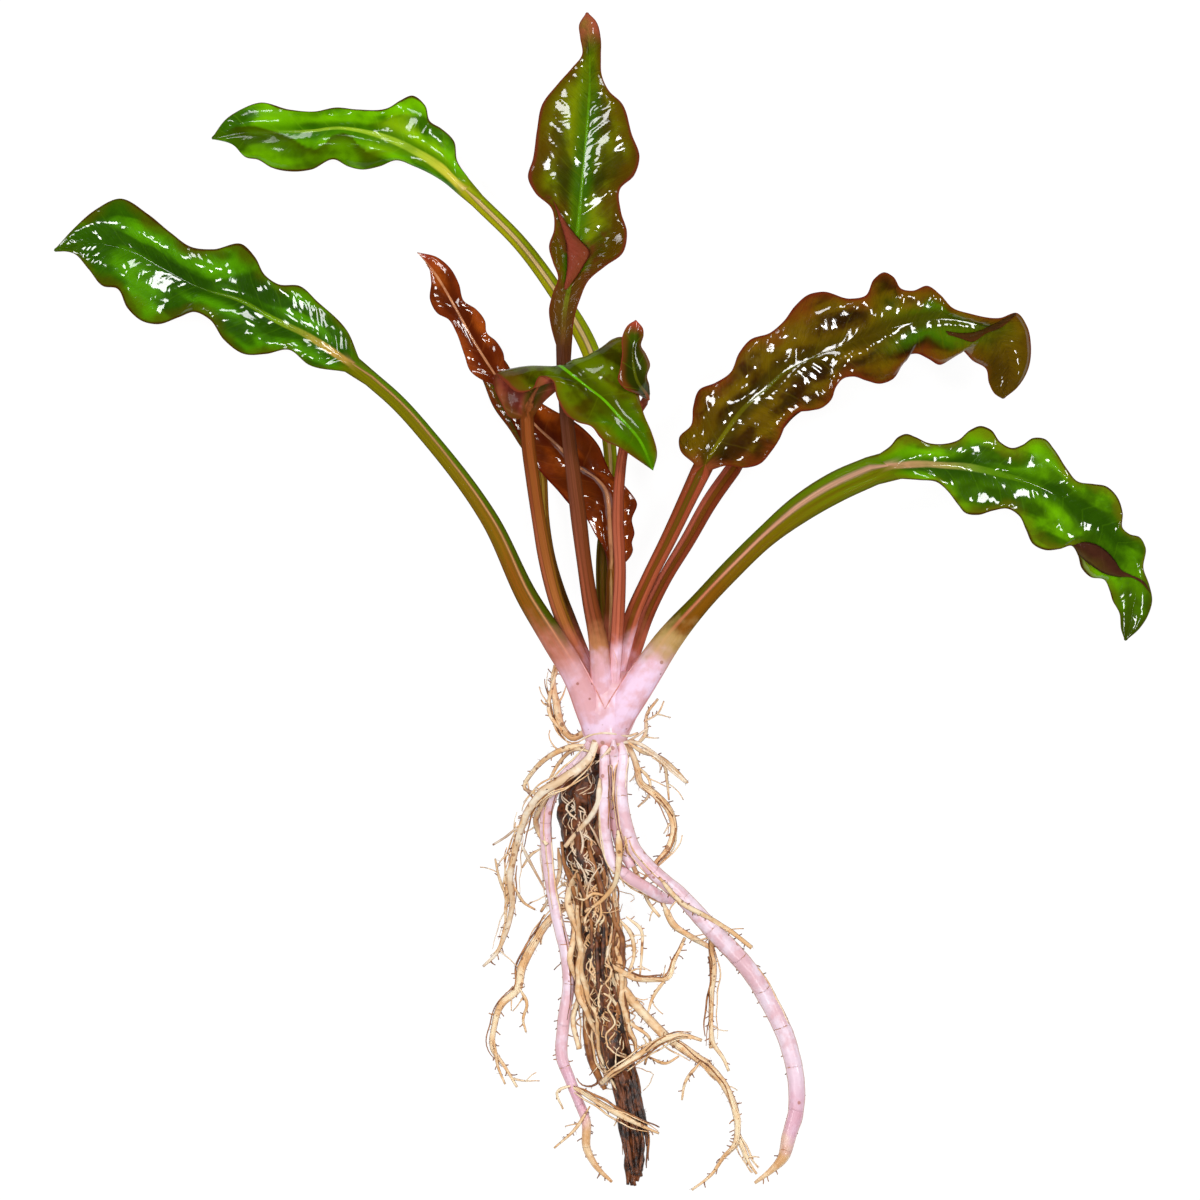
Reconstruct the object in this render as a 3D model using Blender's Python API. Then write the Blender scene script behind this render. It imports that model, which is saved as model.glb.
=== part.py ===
"""A bare-root cryptocoryne, washed clean and laid on a table, seen best from straight above.

The leaves point along +Y, the roots along -Y, and the table is the plane z = 0. Every place is in
millimetres in the table's plane, measured from the middle of the plant's outline.
"""

import math

import bmesh
import bpy
import numpy as np

MM = 0.001
PLANT_LENGTH = 236.0  # from the top leaf's tip to the lowest root tip
OUTLINE_MIDDLE = (0.6, -0.3)  # the outline's middle, which the origin lies under
GAP = 0.3  # left between pieces that touch
LAMINA = 0.6  # a blade's thickness
PETIOLE_FLATNESS = 0.85  # a petiole's depth over its width
BLADE_STATIONS = 28  # rings along a blade that doesn't state its own number
PETIOLE_SPACING = 11.0  # between a petiole's rings
ACROSS = (-1.0, -0.68, -0.32, 0.0, 0.32, 0.68, 1.0)  # places across a blade, margin to margin
RUFFLE = 1.1  # how far a margin droops for each millimetre that it swings out
CROWN_SIDES = 14
ROOT_STEP = 6.0  # between a root's rings
WELD = 0.05  # points closer than this are one

# Each leaf has the petiole's centre line as (x, y, z, half width), the midrib as (x, y, z), and its
# own left and right margins from base to tip, as seen on its upper face. A margin of (x, y) takes
# its height from the midrib, its rise and the ruffle, and one of (x, y, z) states its height.
# turned says that the petiole shows its back. stub is the length fused into the crown. stations is
# the count of sections along the blade, where it isn't BLADE_STATIONS.
LEAVES = {
    "leaf_low_left": {
        "petiole": [
            (-0.4, -27.0, 15.6, 2.6), (-2.0, -22.0, 17.4, 2.9), (-4.4, -16.0, 18.0, 2.7),
            (-9.2, -8.0, 18.4, 2.5), (-14.2, 0.0, 18.8, 2.2), (-22.0, 16.0, 19.8, 1.8),
            (-33.8, 32.0, 19.8, 1.6),
            (-41.0, 40.0, 19.2, 1.6), (-45.8, 44.2, 18.4, 1.6),
        ],
        "midrib": [
            (-49.6, 47.0, 17.6), (-57.8, 52.4, 15.8), (-65.2, 56.2, 13.6), (-71.6, 59.8, 11.6),
            (-79.4, 62.2, 9.2), (-87.8, 66.6, 6.8), (-93.4, 69.6, 5.2), (-101.2, 71.4, 3.2),
            (-109.4, 70.0, 1.4),
        ],
        "left": [
            (-51.0, 45.6), (-58.2, 47.0), (-62.2, 50.0), (-66.8, 49.2), (-71.2, 49.2),
            (-75.2, 52.0), (-78.2, 56.2), (-81.2, 57.6), (-84.2, 56.6), (-88.6, 55.2),
            (-91.6, 55.8), (-94.6, 58.4), (-96.8, 62.4), (-99.4, 62.8), (-102.4, 66.2),
            (-105.4, 69.4), (-109.4, 70.0),
        ],
        "right": [
            (-48.2, 48.4), (-50.4, 53.6), (-56.6, 59.8), (-60.0, 62.8), (-64.4, 63.2),
            (-67.0, 65.0), (-69.0, 68.6), (-71.6, 71.2), (-77.4, 70.2), (-81.6, 70.6),
            (-86.0, 73.6), (-90.4, 77.2), (-96.2, 80.4), (-101.0, 78.2), (-105.4, 74.4),
            (-109.4, 70.0),
        ],
        "rise": (0.4, 0.8),
        "stub": 18.4,
    },
    "leaf_high_left": {
        "petiole": [
            (1.4, -20.0, 12.6, 1.5), (1.5, -10.0, 11.0, 1.5), (0.6, 0.0, 10.2, 1.3),
            (0.6, 10.0, 9.6, 1.3), (1.6, 18.0, 9.2, 1.3), (2.2, 26.0, 8.8, 1.3),
            (1.2, 36.0, 8.4, 1.4), (-2.0, 50.0, 8.0, 1.8), (-9.0, 62.0, 8.0, 1.6),
            (-16.0, 71.4, 8.0, 1.5), (-24.4, 79.8, 7.6, 1.5),
        ],
        "midrib": [
            (-27.0, 82.2, 7.4), (-30.0, 85.2, 7.2), (-35.4, 89.0, 6.8), (-41.4, 92.0, 6.2),
            (-46.0, 93.6, 5.6), (-52.0, 94.6, 5.0), (-58.0, 94.0, 4.4), (-66.0, 93.8, 3.6),
            (-72.0, 93.6, 2.8), (-77.8, 92.4, 1.6),
        ],
        "left": [
            (-27.6, 80.6), (-31.8, 84.0), (-37.2, 86.8), (-40.8, 88.0), (-44.2, 86.8),
            (-47.8, 86.2), (-50.4, 86.8), (-53.2, 88.2), (-57.8, 86.2), (-61.4, 85.8),
            (-65.8, 86.6), (-68.6, 88.2), (-70.8, 88.6), (-73.6, 91.2), (-77.8, 92.4),
        ],
        "right": [
            (-26.0, 84.0), (-28.6, 88.0), (-29.2, 91.8), (-31.8, 94.4), (-34.0, 95.8),
            (-35.0, 99.0), (-37.6, 101.0), (-40.0, 100.0), (-42.2, 98.6), (-48.6, 98.2),
            (-52.8, 98.6), (-57.2, 97.8), (-62.2, 98.2), (-68.2, 99.6), (-72.0, 98.2),
            (-74.8, 96.4), (-77.8, 92.4),
        ],
        "rise": (-1.6, 2.2),
        "stub": 9.0,
    },
    "leaf_top": {
        "petiole": [
            (0.8, -20.0, 17.2, 2.5), (0.2, -14.0, 18.6, 2.2), (-0.4, -8.0, 20.2, 1.9),
            (-2.0, 0.0, 21.9, 1.6), (-3.2, 8.0, 23.2, 1.5), (-4.2, 16.0, 24.4, 1.6), (-5.2, 24.0, 25.4, 1.5),
            (-6.6, 36.0, 26.0, 1.4), (-7.3, 46.0, 25.6, 1.4),
        ],
        "midrib": [
            (-7.4, 51.0, 25.2), (-7.0, 57.0, 24.8), (-6.2, 62.0, 24.4), (-5.2, 67.0, 24.0),
            (-4.6, 73.4, 23.4), (-4.0, 78.6, 22.8), (-3.2, 87.4, 21.2), (-2.4, 97.0, 19.0),
            (-2.0, 105.4, 16.8), (-2.2, 110.0, 15.6), (-2.6, 117.6, 13.6),
        ],
        "left": [
            (-8.8, 51.0), (-9.8, 54.6), (-10.2, 58.0), (-9.4, 61.4), (-8.4, 64.4), (-9.4, 67.4),
            (-10.2, 70.6), (-9.2, 74.0), (-9.6, 78.0), (-13.0, 81.4), (-14.4, 84.4),
            (-13.4, 88.2), (-12.6, 94.0), (-11.6, 99.0), (-8.6, 103.0), (-5.6, 106.4),
            (-3.6, 109.0), (-4.0, 112.6), (-4.2, 115.0), (-2.6, 117.6),
        ],
        "right": [
            (-5.6, 51.0), (-5.2, 56.0), (-4.0, 60.0), (-2.4, 63.6), (1.0, 66.6), (4.6, 69.4),
            (5.4, 73.4), (4.2, 77.6), (4.0, 82.0), (6.8, 84.8), (7.9, 88.6), (6.4, 93.0),
            (4.3, 99.4), (1.8, 101.8), (0.4, 104.8), (0.2, 108.6), (0.2, 112.0), (-0.8, 115.8),
            (-2.6, 117.6),
        ],
        "rise": (0.8, 0.8),
        "stub": 12.0,
    },
    "leaf_red": {
        "petiole": [
            (1.6, -20.0, 15.0, 1.3), (2.0, -8.0, 14.8, 1.3), (2.2, -2.0, 15.0, 1.2),
            (2.2, 3.6, 15.6, 1.0),
        ],
        "midrib": [
            (2.2, 6.4, 16.0), (2.1, 11.0, 16.3), (1.9, 15.4, 16.6), (1.7, 19.4, 17.0),
            (1.0, 22.4, 17.3), (-0.6, 24.4, 17.6), (-4.4, 26.8, 17.9), (-8.4, 30.8, 18.0),
            (-13.0, 35.0, 17.8), (-17.0, 39.8, 17.4), (-20.6, 44.6, 16.8), (-24.8, 51.0, 15.8),
            (-29.8, 60.0, 13.8), (-32.8, 65.0, 12.2), (-36.6, 69.6, 10.4),
        ],
        "right": [
            (1.4, 6.4), (1.4, 8.2), (0.6, 10.6), (-0.8, 12.8), (-3.0, 16.6), (-6.2, 19.2),
            (-8.4, 21.8), (-11.0, 24.6),
            (-13.4, 27.6), (-15.0, 30.4), (-17.0, 34.4), (-19.4, 39.4), (-21.6, 43.2),
            (-23.6, 44.0), (-25.8, 45.6), (-27.2, 49.2), (-28.8, 53.6), (-30.2, 56.0),
            (-32.6, 57.4), (-34.0, 60.0), (-33.8, 63.8), (-34.6, 67.4), (-36.6, 69.6),
        ],
        "left": [
            (3.0, 6.4), (5.2, 7.6), (6.6, 10.0), (6.4, 11.4), (6.9, 13.2), (6.4, 16.0),
            (7.4, 19.4), (6.2, 21.4), (5.0, 22.8), (2.6, 24.8), (1.4, 27.0), (-0.2, 30.8),
            (-3.2, 34.2), (-5.6, 36.0), (-9.0, 37.8), (-12.0, 39.6), (-16.0, 43.0),
            (-18.8, 46.4), (-19.4, 49.6), (-20.8, 51.8), (-22.6, 53.4), (-23.0, 55.8),
            (-24.8, 58.2), (-27.2, 59.8), (-28.2, 63.2), (-29.8, 66.2), (-32.6, 68.6),
            (-36.6, 69.6),
        ],
        "turned": True,
        "rise": (-0.4, -0.6),
        "stub": 11.0,
        "stations": 24,
    },
    "leaf_front": {
        "petiole": [
            (-1.0, -19.0, 14.0, 1.7), (-4.0, -11.6, 14.6, 1.6), (-6.8, -5.4, 16.0, 1.6),
            (-8.8, 0.0, 18.2, 1.5), (-10.8, 8.0, 21.2, 1.5), (-12.2, 16.0, 24.0, 1.4),
            (-13.4, 24.0, 26.6, 1.4), (-14.4, 32.0, 29.0, 1.4), (-14.6, 36.4, 30.2, 1.4),
        ],
        "midrib": [
            (-14.4, 39.2, 31.2), (-13.2, 41.8, 32.6), (-11.2, 44.4, 34.4), (-9.4, 46.0, 36.6),
            (-8.0, 46.4, 38.8), (-6.4, 45.4, 40.6), (-2.6, 42.4, 41.4), (0.4, 40.2, 41.0),
            (3.8, 36.6, 39.8), (7.8, 32.0, 37.6), (10.6, 25.8, 33.8),
        ],
        "right": [
            (-16.2, 36.0, 30.2), (-18.0, 36.4, 31.0), (-19.6, 39.0, 32.0), (-21.2, 42.8, 34.0),
            (-21.0, 45.0, 36.8), (-19.2, 43.6, 39.6), (-16.4, 41.4, 41.0), (-13.6, 42.0, 42.0),
            (-12.0, 44.6, 43.0), (-9.8, 44.0, 43.2), (-8.6, 40.4, 42.4), (-7.0, 37.2, 41.4),
            (-4.4, 35.4, 40.6), (-1.8, 34.6, 40.6), (0.2, 32.2, 39.8), (3.8, 30.4, 38.4),
            (7.4, 28.0, 36.2), (10.6, 25.8, 33.8),
        ],
        "left": [
            (-13.0, 37.0, 31.0), (-11.6, 39.0, 31.8), (-8.6, 41.8, 33.0), (-4.0, 45.6, 34.0),
            (0.4, 49.4, 35.4), (3.4, 52.4, 37.0), (5.2, 52.2, 38.6), (6.4, 49.0, 38.6),
            (7.2, 45.0, 38.4), (7.8, 40.8, 38.8), (8.8, 37.0, 38.6), (10.4, 33.2, 37.4),
            (11.4, 29.0, 35.6), (10.6, 25.8, 33.8),
        ],
        "turned": True,
        "rise": (0.0, 0.0),
        "stub": 9.0,
        "stations": 22,
    },
    "leaf_young": {
        "petiole": [
            (2.4, -19.0, 17.6, 1.4), (3.3, -9.0, 19.2, 1.3), (3.7, -2.0, 21.0, 1.3),
            (4.0, 6.0, 22.8, 1.2), (3.6, 16.0, 24.4, 1.2), (3.9, 24.0, 26.0, 1.1),
            (4.9, 31.0, 28.0, 1.0), (6.8, 36.4, 30.6, 0.9), (8.8, 39.4, 33.6, 0.8),
        ],
        "midrib": [
            (9.4, 40.6, 36.4), (8.8, 41.6, 39.0), (7.4, 43.6, 41.6), (6.6, 46.6, 43.0),
            (6.4, 49.6, 44.0), (6.8, 52.8, 44.6), (7.2, 55.8, 44.6),
        ],
        "left": [
            (8.6, 40.4, 37.0), (7.0, 41.2, 40.8), (4.8, 42.2, 42.6), (3.6, 43.8, 43.4),
            (4.0, 46.2, 44.2), (4.4, 49.0, 45.2), (4.4, 52.4, 45.8), (5.6, 54.8, 45.4),
            (7.2, 55.8, 44.6),
        ],
        "right": [
            (10.0, 41.2, 37.0), (9.8, 43.0, 39.6), (9.4, 44.8, 41.4), (10.0, 46.8, 41.8),
            (9.2, 49.0, 42.6), (8.2, 50.8, 43.8), (8.7, 52.8, 44.4), (8.6, 54.0, 44.6),
            (7.2, 55.8, 44.6),
        ],
        "rise": (0.0, 0.0),
        "stub": 9.0,
        "stations": 16,
    },
    "leaf_high_right": {
        "petiole": [
            (3.0, -18.0, 15.6, 1.6), (4.6, -10.0, 16.4, 1.6), (6.4, -3.4, 17.0, 1.6),
            (9.6, 4.0, 18.0, 1.5), (13.6, 12.0, 19.4, 1.6), (17.6, 20.4, 20.8, 1.8),
            (20.0, 25.4, 21.6, 2.0),
        ],
        "midrib": [
            (21.2, 27.6, 22.0), (25.4, 34.0, 22.8), (29.2, 38.8, 23.4), (33.4, 42.4, 24.0),
            (37.0, 45.6, 24.4), (42.6, 48.4, 24.8), (51.8, 52.0, 24.6), (57.8, 54.2, 24.0),
            (64.8, 56.0, 22.4), (71.8, 56.0, 20.2), (77.2, 54.4, 18.0), (80.8, 50.8, 15.6),
            (81.8, 46.0, 13.2), (80.6, 40.2, 11.2),
        ],
        "left": [
            (18.8, 27.2), (16.0, 30.0), (15.8, 32.4), (18.2, 35.0), (18.6, 38.6), (19.8, 42.0),
            (23.0, 43.4), (26.0, 45.4), (27.8, 49.4), (30.0, 52.0), (34.0, 53.4), (36.6, 55.6),
            (39.0, 58.8), (41.6, 61.0), (44.4, 61.6), (50.0, 60.2), (53.0, 60.8), (54.8, 64.2),
            (56.8, 65.5), (58.6, 64.6), (60.2, 62.2), (62.4, 61.8), (65.4, 62.8), (68.0, 61.0),
            (70.4, 58.4), (74.0, 57.2), (80.0, 56.4), (83.4, 57.4), (85.4, 54.8), (86.2, 51.0),
            (85.6, 46.0), (83.4, 42.4), (80.6, 40.2),
        ],
        "right": [
            (22.4, 26.0), (25.0, 26.8), (29.2, 26.4), (32.0, 27.2), (34.2, 29.6), (35.8, 32.0),
            (37.4, 35.4), (39.4, 37.4), (42.0, 37.8), (44.4, 38.4), (46.2, 40.0), (47.2, 42.6),
            (48.6, 44.2), (50.6, 44.6), (53.2, 43.8), (56.0, 43.2), (58.6, 44.2), (60.2, 46.6),
            (61.4, 48.8), (63.2, 49.2), (65.6, 48.2), (68.0, 47.0), (69.6, 47.8), (72.0, 50.0),
            (74.6, 47.8), (77.2, 46.2), (77.8, 43.4), (79.0, 41.2), (80.6, 40.2),
        ],
        "rise": (0.6, -0.6),
        "stub": 8.6,
    },
    "leaf_low_right": {
        "petiole": [
            (2.4, -27.0, 15.6, 2.6), (4.3, -22.0, 17.3, 3.4), (7.2, -17.6, 17.8, 3.3),
            (9.6, -14.0, 17.8, 3.1), (13.7, -8.0, 17.8, 2.7), (20.2, -0.4, 18.2, 2.1),
            (26.0, 5.8, 18.8, 2.1), (33.0, 12.6, 19.8, 2.2), (40.0, 18.2, 20.6, 2.8), (48.0, 23.0, 21.2, 3.1),
            (54.4, 25.8, 21.4, 3.0),
        ],
        "midrib": [
            (57.6, 26.6, 21.4), (64.0, 27.0, 21.0), (72.0, 26.8, 20.0), (80.0, 25.2, 18.2),
            (88.0, 22.6, 15.8), (95.0, 19.0, 13.0), (101.0, 14.4, 10.0), (105.4, 8.8, 6.8),
            (107.2, 4.0, 4.6), (106.8, -1.6, 2.8), (105.2, -8.2, 1.2),
        ],
        "left": [
            (55.8, 29.2), (58.0, 30.8), (59.6, 32.6), (61.2, 33.2), (63.0, 32.6), (65.6, 31.4),
            (68.6, 31.2), (71.6, 32.0), (74.0, 34.0), (76.0, 34.8), (78.2, 34.0), (80.0, 31.6),
            (82.4, 30.4), (84.4, 31.0), (86.6, 32.4), (89.0, 32.2), (90.8, 30.2), (93.4, 26.2),
            (95.4, 23.8), (98.8, 23.2), (101.2, 22.8), (103.4, 20.8), (104.6, 17.4),
            (104.6, 14.4), (106.0, 13.2), (108.0, 12.6), (109.2, 10.6), (108.8, 6.4),
            (110.0, 3.0), (110.6, 0.0), (109.8, -3.0), (108.0, -5.8), (105.2, -8.2),
        ],
        "right": [
            (60.0, 24.2), (64.0, 24.0), (67.4, 23.6), (69.6, 21.6), (71.6, 19.0), (73.0, 17.4),
            (75.6, 17.0), (78.4, 17.8), (81.6, 18.2), (83.8, 16.8), (85.2, 14.0), (86.6, 11.2),
            (89.0, 10.0), (92.0, 10.2), (94.4, 10.8), (95.6, 9.0), (96.4, 6.4), (98.2, 4.6),
            (101.0, 4.0), (102.0, 2.0), (102.6, 0.0), (104.0, -2.6), (104.4, -6.0),
            (105.2, -8.2),
        ],
        "rise": (0.8, 0.2),
        "stub": 15.2,
    },
    "leaf_behind_right": {
        "petiole": [
            (4.2, -17.0, 13.4, 1.4), (7.0, -10.0, 12.6, 1.4), (9.2, -3.6, 12.0, 1.4),
            (12.8, 4.0, 11.2, 1.4), (17.6, 12.0, 10.2, 1.5), (22.2, 20.0, 9.2, 1.6),
            (26.6, 26.2, 8.4, 1.6),
        ],
        "midrib": [
            (28.4, 29.4, 7.8), (32.0, 34.6, 6.8), (37.0, 40.2, 5.6), (44.0, 45.8, 4.4),
            (53.0, 50.6, 3.4), (61.0, 54.0, 2.6), (68.6, 55.8, 1.6),
        ],
        "half_widths": (3.6, 3.2),
        "waves": 4,
        "rise": (0.6, 0.6),
        "stub": 8.0,
        "stations": 12,
    },
    "leaf_behind_left": {
        "petiole": [
            (0.0, -18.0, 13.6, 1.2), (-3.4, -10.4, 12.4, 1.2), (-5.8, -4.0, 11.4, 1.1),
            (-8.0, 2.0, 10.4, 1.0), (-9.8, 8.0, 9.4, 1.0), (-11.0, 16.0, 8.2, 0.9),
            (-11.4, 24.0, 7.2, 0.9),
        ],
        "midrib": [
            (-12.6, 29.0, 6.6), (-16.4, 36.6, 5.6), (-20.6, 44.4, 4.4), (-24.4, 51.0, 3.4),
            (-27.8, 57.0, 2.6), (-30.6, 62.4, 1.6),
        ],
        "half_widths": (2.6, 2.6),
        "waves": 3,
        "rise": (0.3, 0.3),
        "stub": 8.6,
        "stations": 12,
    },
}

# The crown's own sections from below to above: (x, y, z, half width, half depth).
CROWN = [
    (1.2, -30.8, 15.0, 1.8, 1.6), (1.2, -29.9, 15.0, 3.0, 2.7), (1.2, -28.6, 15.0, 3.9, 3.5),
    (1.2, -27.0, 15.0, 4.6, 4.1), (1.4, -24.8, 15.0, 5.4, 4.6), (1.5, -22.0, 15.1, 6.3, 5.0),
    (1.6, -18.5, 15.0, 5.9, 4.6), (1.6, -15.0, 14.8, 4.6, 3.8), (1.7, -12.8, 14.6, 3.0, 2.6),
]

# Each root or runner as (x, y, z, radius) from the crown's end to its tip.
ROOTS = {
    "rootstock": [
        (0.6, -27.0, 13.6, 2.0), (-0.6, -31.6, 12.8, 2.3), (-2.4, -34.8, 12.0, 2.9),
        (-4.0, -38.4, 11.0, 3.6), (-4.0, -44.0, 10.0, 3.8), (-3.4, -50.0, 9.2, 3.6),
        (-1.8, -57.0, 8.0, 3.1), (-0.6, -64.0, 6.9, 2.8), (0.2, -76.4, 5.4, 2.6),
        (1.6, -84.0, 4.4, 2.6), (2.8, -89.2, 3.6, 2.6), (5.6, -99.4, 2.6, 2.2),
        (7.2, -109.0, 2.3, 2.2),
        (7.4, -115.2, 1.9, 1.6),
    ],
    "runner_left": [
        (-1.2, -27.6, 16.0, 0.9), (-3.4, -31.0, 16.0, 1.05), (-5.6, -33.6, 15.4, 1.1),
        (-8.8, -37.4, 14.6, 1.15),
        (-10.6, -42.0, 13.0, 1.2), (-10.7, -49.2, 10.6, 1.2), (-9.8, -57.2, 8.4, 1.15),
        (-8.6, -63.6, 6.6, 1.15), (-6.8, -71.2, 4.2, 1.2), (-6.3, -76.4, 2.8, 1.2),
        (-7.4, -85.4, 1.5, 1.25), (-7.6, -91.8, 1.2, 1.2), (-6.2, -95.6, 1.1, 1.1),
        (-4.2, -100.6, 1.0, 1.0), (-2.8, -104.4, 0.95, 0.95), (-2.6, -110.0, 0.8, 0.8),
        (-0.8, -113.4, 0.6, 0.6), (2.4, -116.6, 0.35, 0.3),
    ],
    "runner_middle": [
        (1.1, -27.6, 17.2, 0.9), (0.9, -32.0, 17.4, 1.05), (1.0, -36.0, 17.2, 1.15),
        (0.9, -40.0, 17.0, 1.2), (1.2, -47.8, 15.6, 1.2), (2.4, -52.2, 14.4, 1.25),
        (6.0, -55.6, 12.8, 1.3), (9.6, -57.8, 10.8, 1.25), (13.0, -59.8, 8.8, 1.0),
        (14.8, -60.4, 8.0, 0.6),
    ],
    "runner_right": [
        (3.4, -27.6, 16.4, 0.9), (4.7, -31.6, 16.8, 1.1), (4.4, -34.6, 17.2, 1.2),
        (4.2, -38.0, 17.0, 1.3),
        (4.9, -43.6, 16.2, 1.35), (6.9, -49.8, 14.8, 1.4), (10.8, -54.4, 13.2, 1.5),
        (16.0, -59.0, 11.4, 1.6), (22.2, -65.8, 9.0, 1.8), (27.0, -70.8, 6.8, 1.85),
        (30.4, -74.8, 5.2, 1.85), (33.8, -80.4, 3.4, 1.85), (36.6, -86.0, 2.4, 1.8),
        (38.6, -92.2, 1.9, 1.75), (39.4, -98.0, 1.75, 1.7), (39.2, -102.6, 1.65, 1.6),
        (37.8, -107.6, 1.5, 1.45), (36.6, -111.8, 1.2, 1.1), (34.6, -114.0, 0.8, 0.7),
        (31.0, -116.8, 0.4, 0.3),
    ],
    "root_long_left": [
        (-0.8, -27.6, 17.4, 0.85), (-2.0, -31.4, 18.4, 1.0), (-4.2, -33.6, 19.1, 1.15),
        (-7.4, -35.8, 19.0, 1.15),
        (-12.0, -38.8, 17.6, 1.0), (-14.8, -43.0, 15.0, 0.95), (-16.6, -49.0, 11.6, 0.85),
        (-18.0, -56.0, 8.0, 0.8), (-17.6, -61.0, 5.6, 0.75), (-19.0, -66.8, 3.4, 0.65),
        (-20.6, -70.6, 1.8, 0.5), (-23.4, -73.4, 0.5, 0.3),
    ],
    "root_low_left": [
        (-2.2, -57.6, 6.8, 0.8), (-6.2, -60.6, 4.6, 0.9), (-10.4, -64.4, 2.9, 1.0),
        (-13.2, -68.8, 1.8, 1.05),
        (-15.6, -73.4, 1.2, 1.1), (-16.6, -78.0, 1.0, 0.95), (-19.6, -80.8, 0.95, 0.9),
        (-21.2, -85.4, 0.8, 0.75), (-21.4, -90.0, 0.7, 0.65), (-19.4, -93.0, 0.5, 0.45),
        (-16.6, -97.6, 0.35, 0.3),
    ],
    "root_low_right": [
        (1.4, -74.8, 5.0, 1.0), (4.6, -77.8, 4.4, 1.15), (6.6, -80.4, 3.6, 1.2),
        (9.6, -83.8, 2.6, 1.2),
        (13.2, -87.4, 1.8, 1.2), (17.0, -90.0, 1.3, 1.2), (22.0, -93.8, 1.15, 1.15),
        (24.8, -97.0, 1.0, 1.0), (26.6, -100.6, 0.95, 0.95), (27.6, -105.6, 0.85, 0.85),
        (27.2, -108.8, 0.8, 0.75), (24.6, -111.8, 0.6, 0.55), (22.4, -115.0, 0.5, 0.4),
        (18.4, -118.2, 0.35, 0.3),
    ],
    "root_low_right_fork": [
        (27.4, -107.0, 0.9, 0.55), (28.8, -109.8, 0.6, 0.5), (30.0, -113.0, 0.5, 0.4),
        (31.4, -115.0, 0.4, 0.3),
    ],
    "root_cross_upper": [
        (0.2, -96.8, 3.8, 0.8), (2.4, -94.9, 6.5, 0.85), (5.4, -92.8, 7.8, 0.85),
        (9.8, -89.6, 6.2, 0.8), (13.2, -87.8, 4.4, 0.75), (17.0, -87.2, 3.4, 0.6),
        (20.4, -88.2, 3.0, 0.4),
    ],
    "root_cross_lower": [
        (-5.6, -97.4, 1.4, 0.55), (-3.2, -98.8, 3.0, 0.65), (0.0, -100.8, 4.6, 0.75),
        (5.0, -103.6, 5.6, 0.75),
        (8.6, -105.4, 5.2, 0.5), (11.8, -106.8, 4.4, 0.3),
    ],
    "root_side": [
        (1.2, -72.8, 7.0, 0.65), (4.4, -74.4, 6.2, 0.7), (7.0, -75.8, 5.2, 0.7),
        (10.6, -76.0, 4.0, 0.65),
        (13.4, -75.8, 3.4, 0.6), (15.0, -72.0, 3.2, 0.5), (17.0, -67.6, 3.4, 0.4),
    ],
    "root_hanging": [
        (22.4, -66.2, 8.2, 0.7), (22.2, -69.6, 6.0, 0.7), (22.8, -73.6, 4.4, 0.8),
        (22.4, -78.0, 3.0, 0.7),
        (22.2, -84.0, 1.6, 0.6), (22.2, -89.8, 0.8, 0.45),
    ],
    "root_loop_right": [
        (4.0, -27.0, 13.8, 0.65), (6.4, -30.6, 13.4, 0.75), (7.4, -33.6, 13.0, 0.8),
        (8.0, -36.4, 12.6, 0.9),
        (11.2, -39.0, 12.0, 0.95), (14.0, -42.4, 11.4, 0.95), (14.8, -45.6, 11.0, 0.9),
        (13.8, -49.4, 10.4, 0.8), (11.0, -52.8, 9.8, 0.6), (8.6, -56.0, 9.2, 0.35),
    ],
    "root_behind": [
        (-1.4, -60.2, 6.6, 0.8), (-4.4, -64.2, 4.2, 1.0), (-5.0, -70.6, 2.6, 1.2),
        (-4.2, -76.0, 1.8, 1.4),
        (-2.4, -82.0, 1.5, 1.45), (-2.2, -88.0, 1.5, 1.45), (-1.2, -93.4, 1.2, 1.15),
        (1.0, -98.0, 0.7, 0.6),
    ],
    "root_beside_crown": [
        (-2.6, -26.2, 12.6, 0.75), (-5.4, -27.6, 11.6, 0.85), (-7.8, -25.0, 10.8, 0.95),
        (-8.7, -20.8, 10.0, 0.95),
        (-9.4, -16.0, 9.4, 0.7), (-9.0, -13.0, 9.2, 0.4),
    ],
}

# The piece that a root grows from. It starts inside that piece and is cut off where it comes out.
GROWS_FROM = {
    "rootstock": "crown",
    "runner_left": "crown",
    "runner_middle": "crown",
    "runner_right": "crown",
    "root_long_left": "crown",
    "root_loop_right": "crown",
    "root_beside_crown": "crown",
    "root_low_left": "rootstock",
    "root_low_right": "rootstock",
    "root_side": "rootstock",
    "root_behind": "rootstock",
    "root_hanging": "runner_right",
    "root_low_right_fork": "root_low_right",
    "root_cross_lower": "runner_left",
}

# Base colour and roughness by material.
GREEN = ((0.045, 0.19, 0.01), 0.3)
BRONZE = ((0.10, 0.075, 0.01), 0.3)
RED_BROWN = ((0.16, 0.035, 0.01), 0.35)
PINK = ((0.80, 0.55, 0.66), 0.45)
BARK = ((0.05, 0.022, 0.01), 0.8)
TAN = ((0.68, 0.42, 0.19), 0.6)
LEAF_FINISH = {
    "leaf_top": BRONZE,
    "leaf_high_right": BRONZE,
    "leaf_behind_right": BRONZE,
    "leaf_red": RED_BROWN,
    "leaf_behind_left": RED_BROWN,
}


def clear_scene():
    for obj in list(bpy.data.objects):
        bpy.data.objects.remove(obj, do_unlink=True)


def make_collection(name):
    collection = bpy.data.collections.new(name)
    bpy.context.scene.collection.children.link(collection)
    return collection


def make_material(name, colour, roughness):
    material = bpy.data.materials.new(name)
    material.use_nodes = True
    shader = material.node_tree.nodes["Principled BSDF"]
    shader.inputs["Base Color"].default_value = (*colour, 1.0)
    shader.inputs["Roughness"].default_value = roughness
    shader.inputs["Metallic"].default_value = 0.0
    return material


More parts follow.
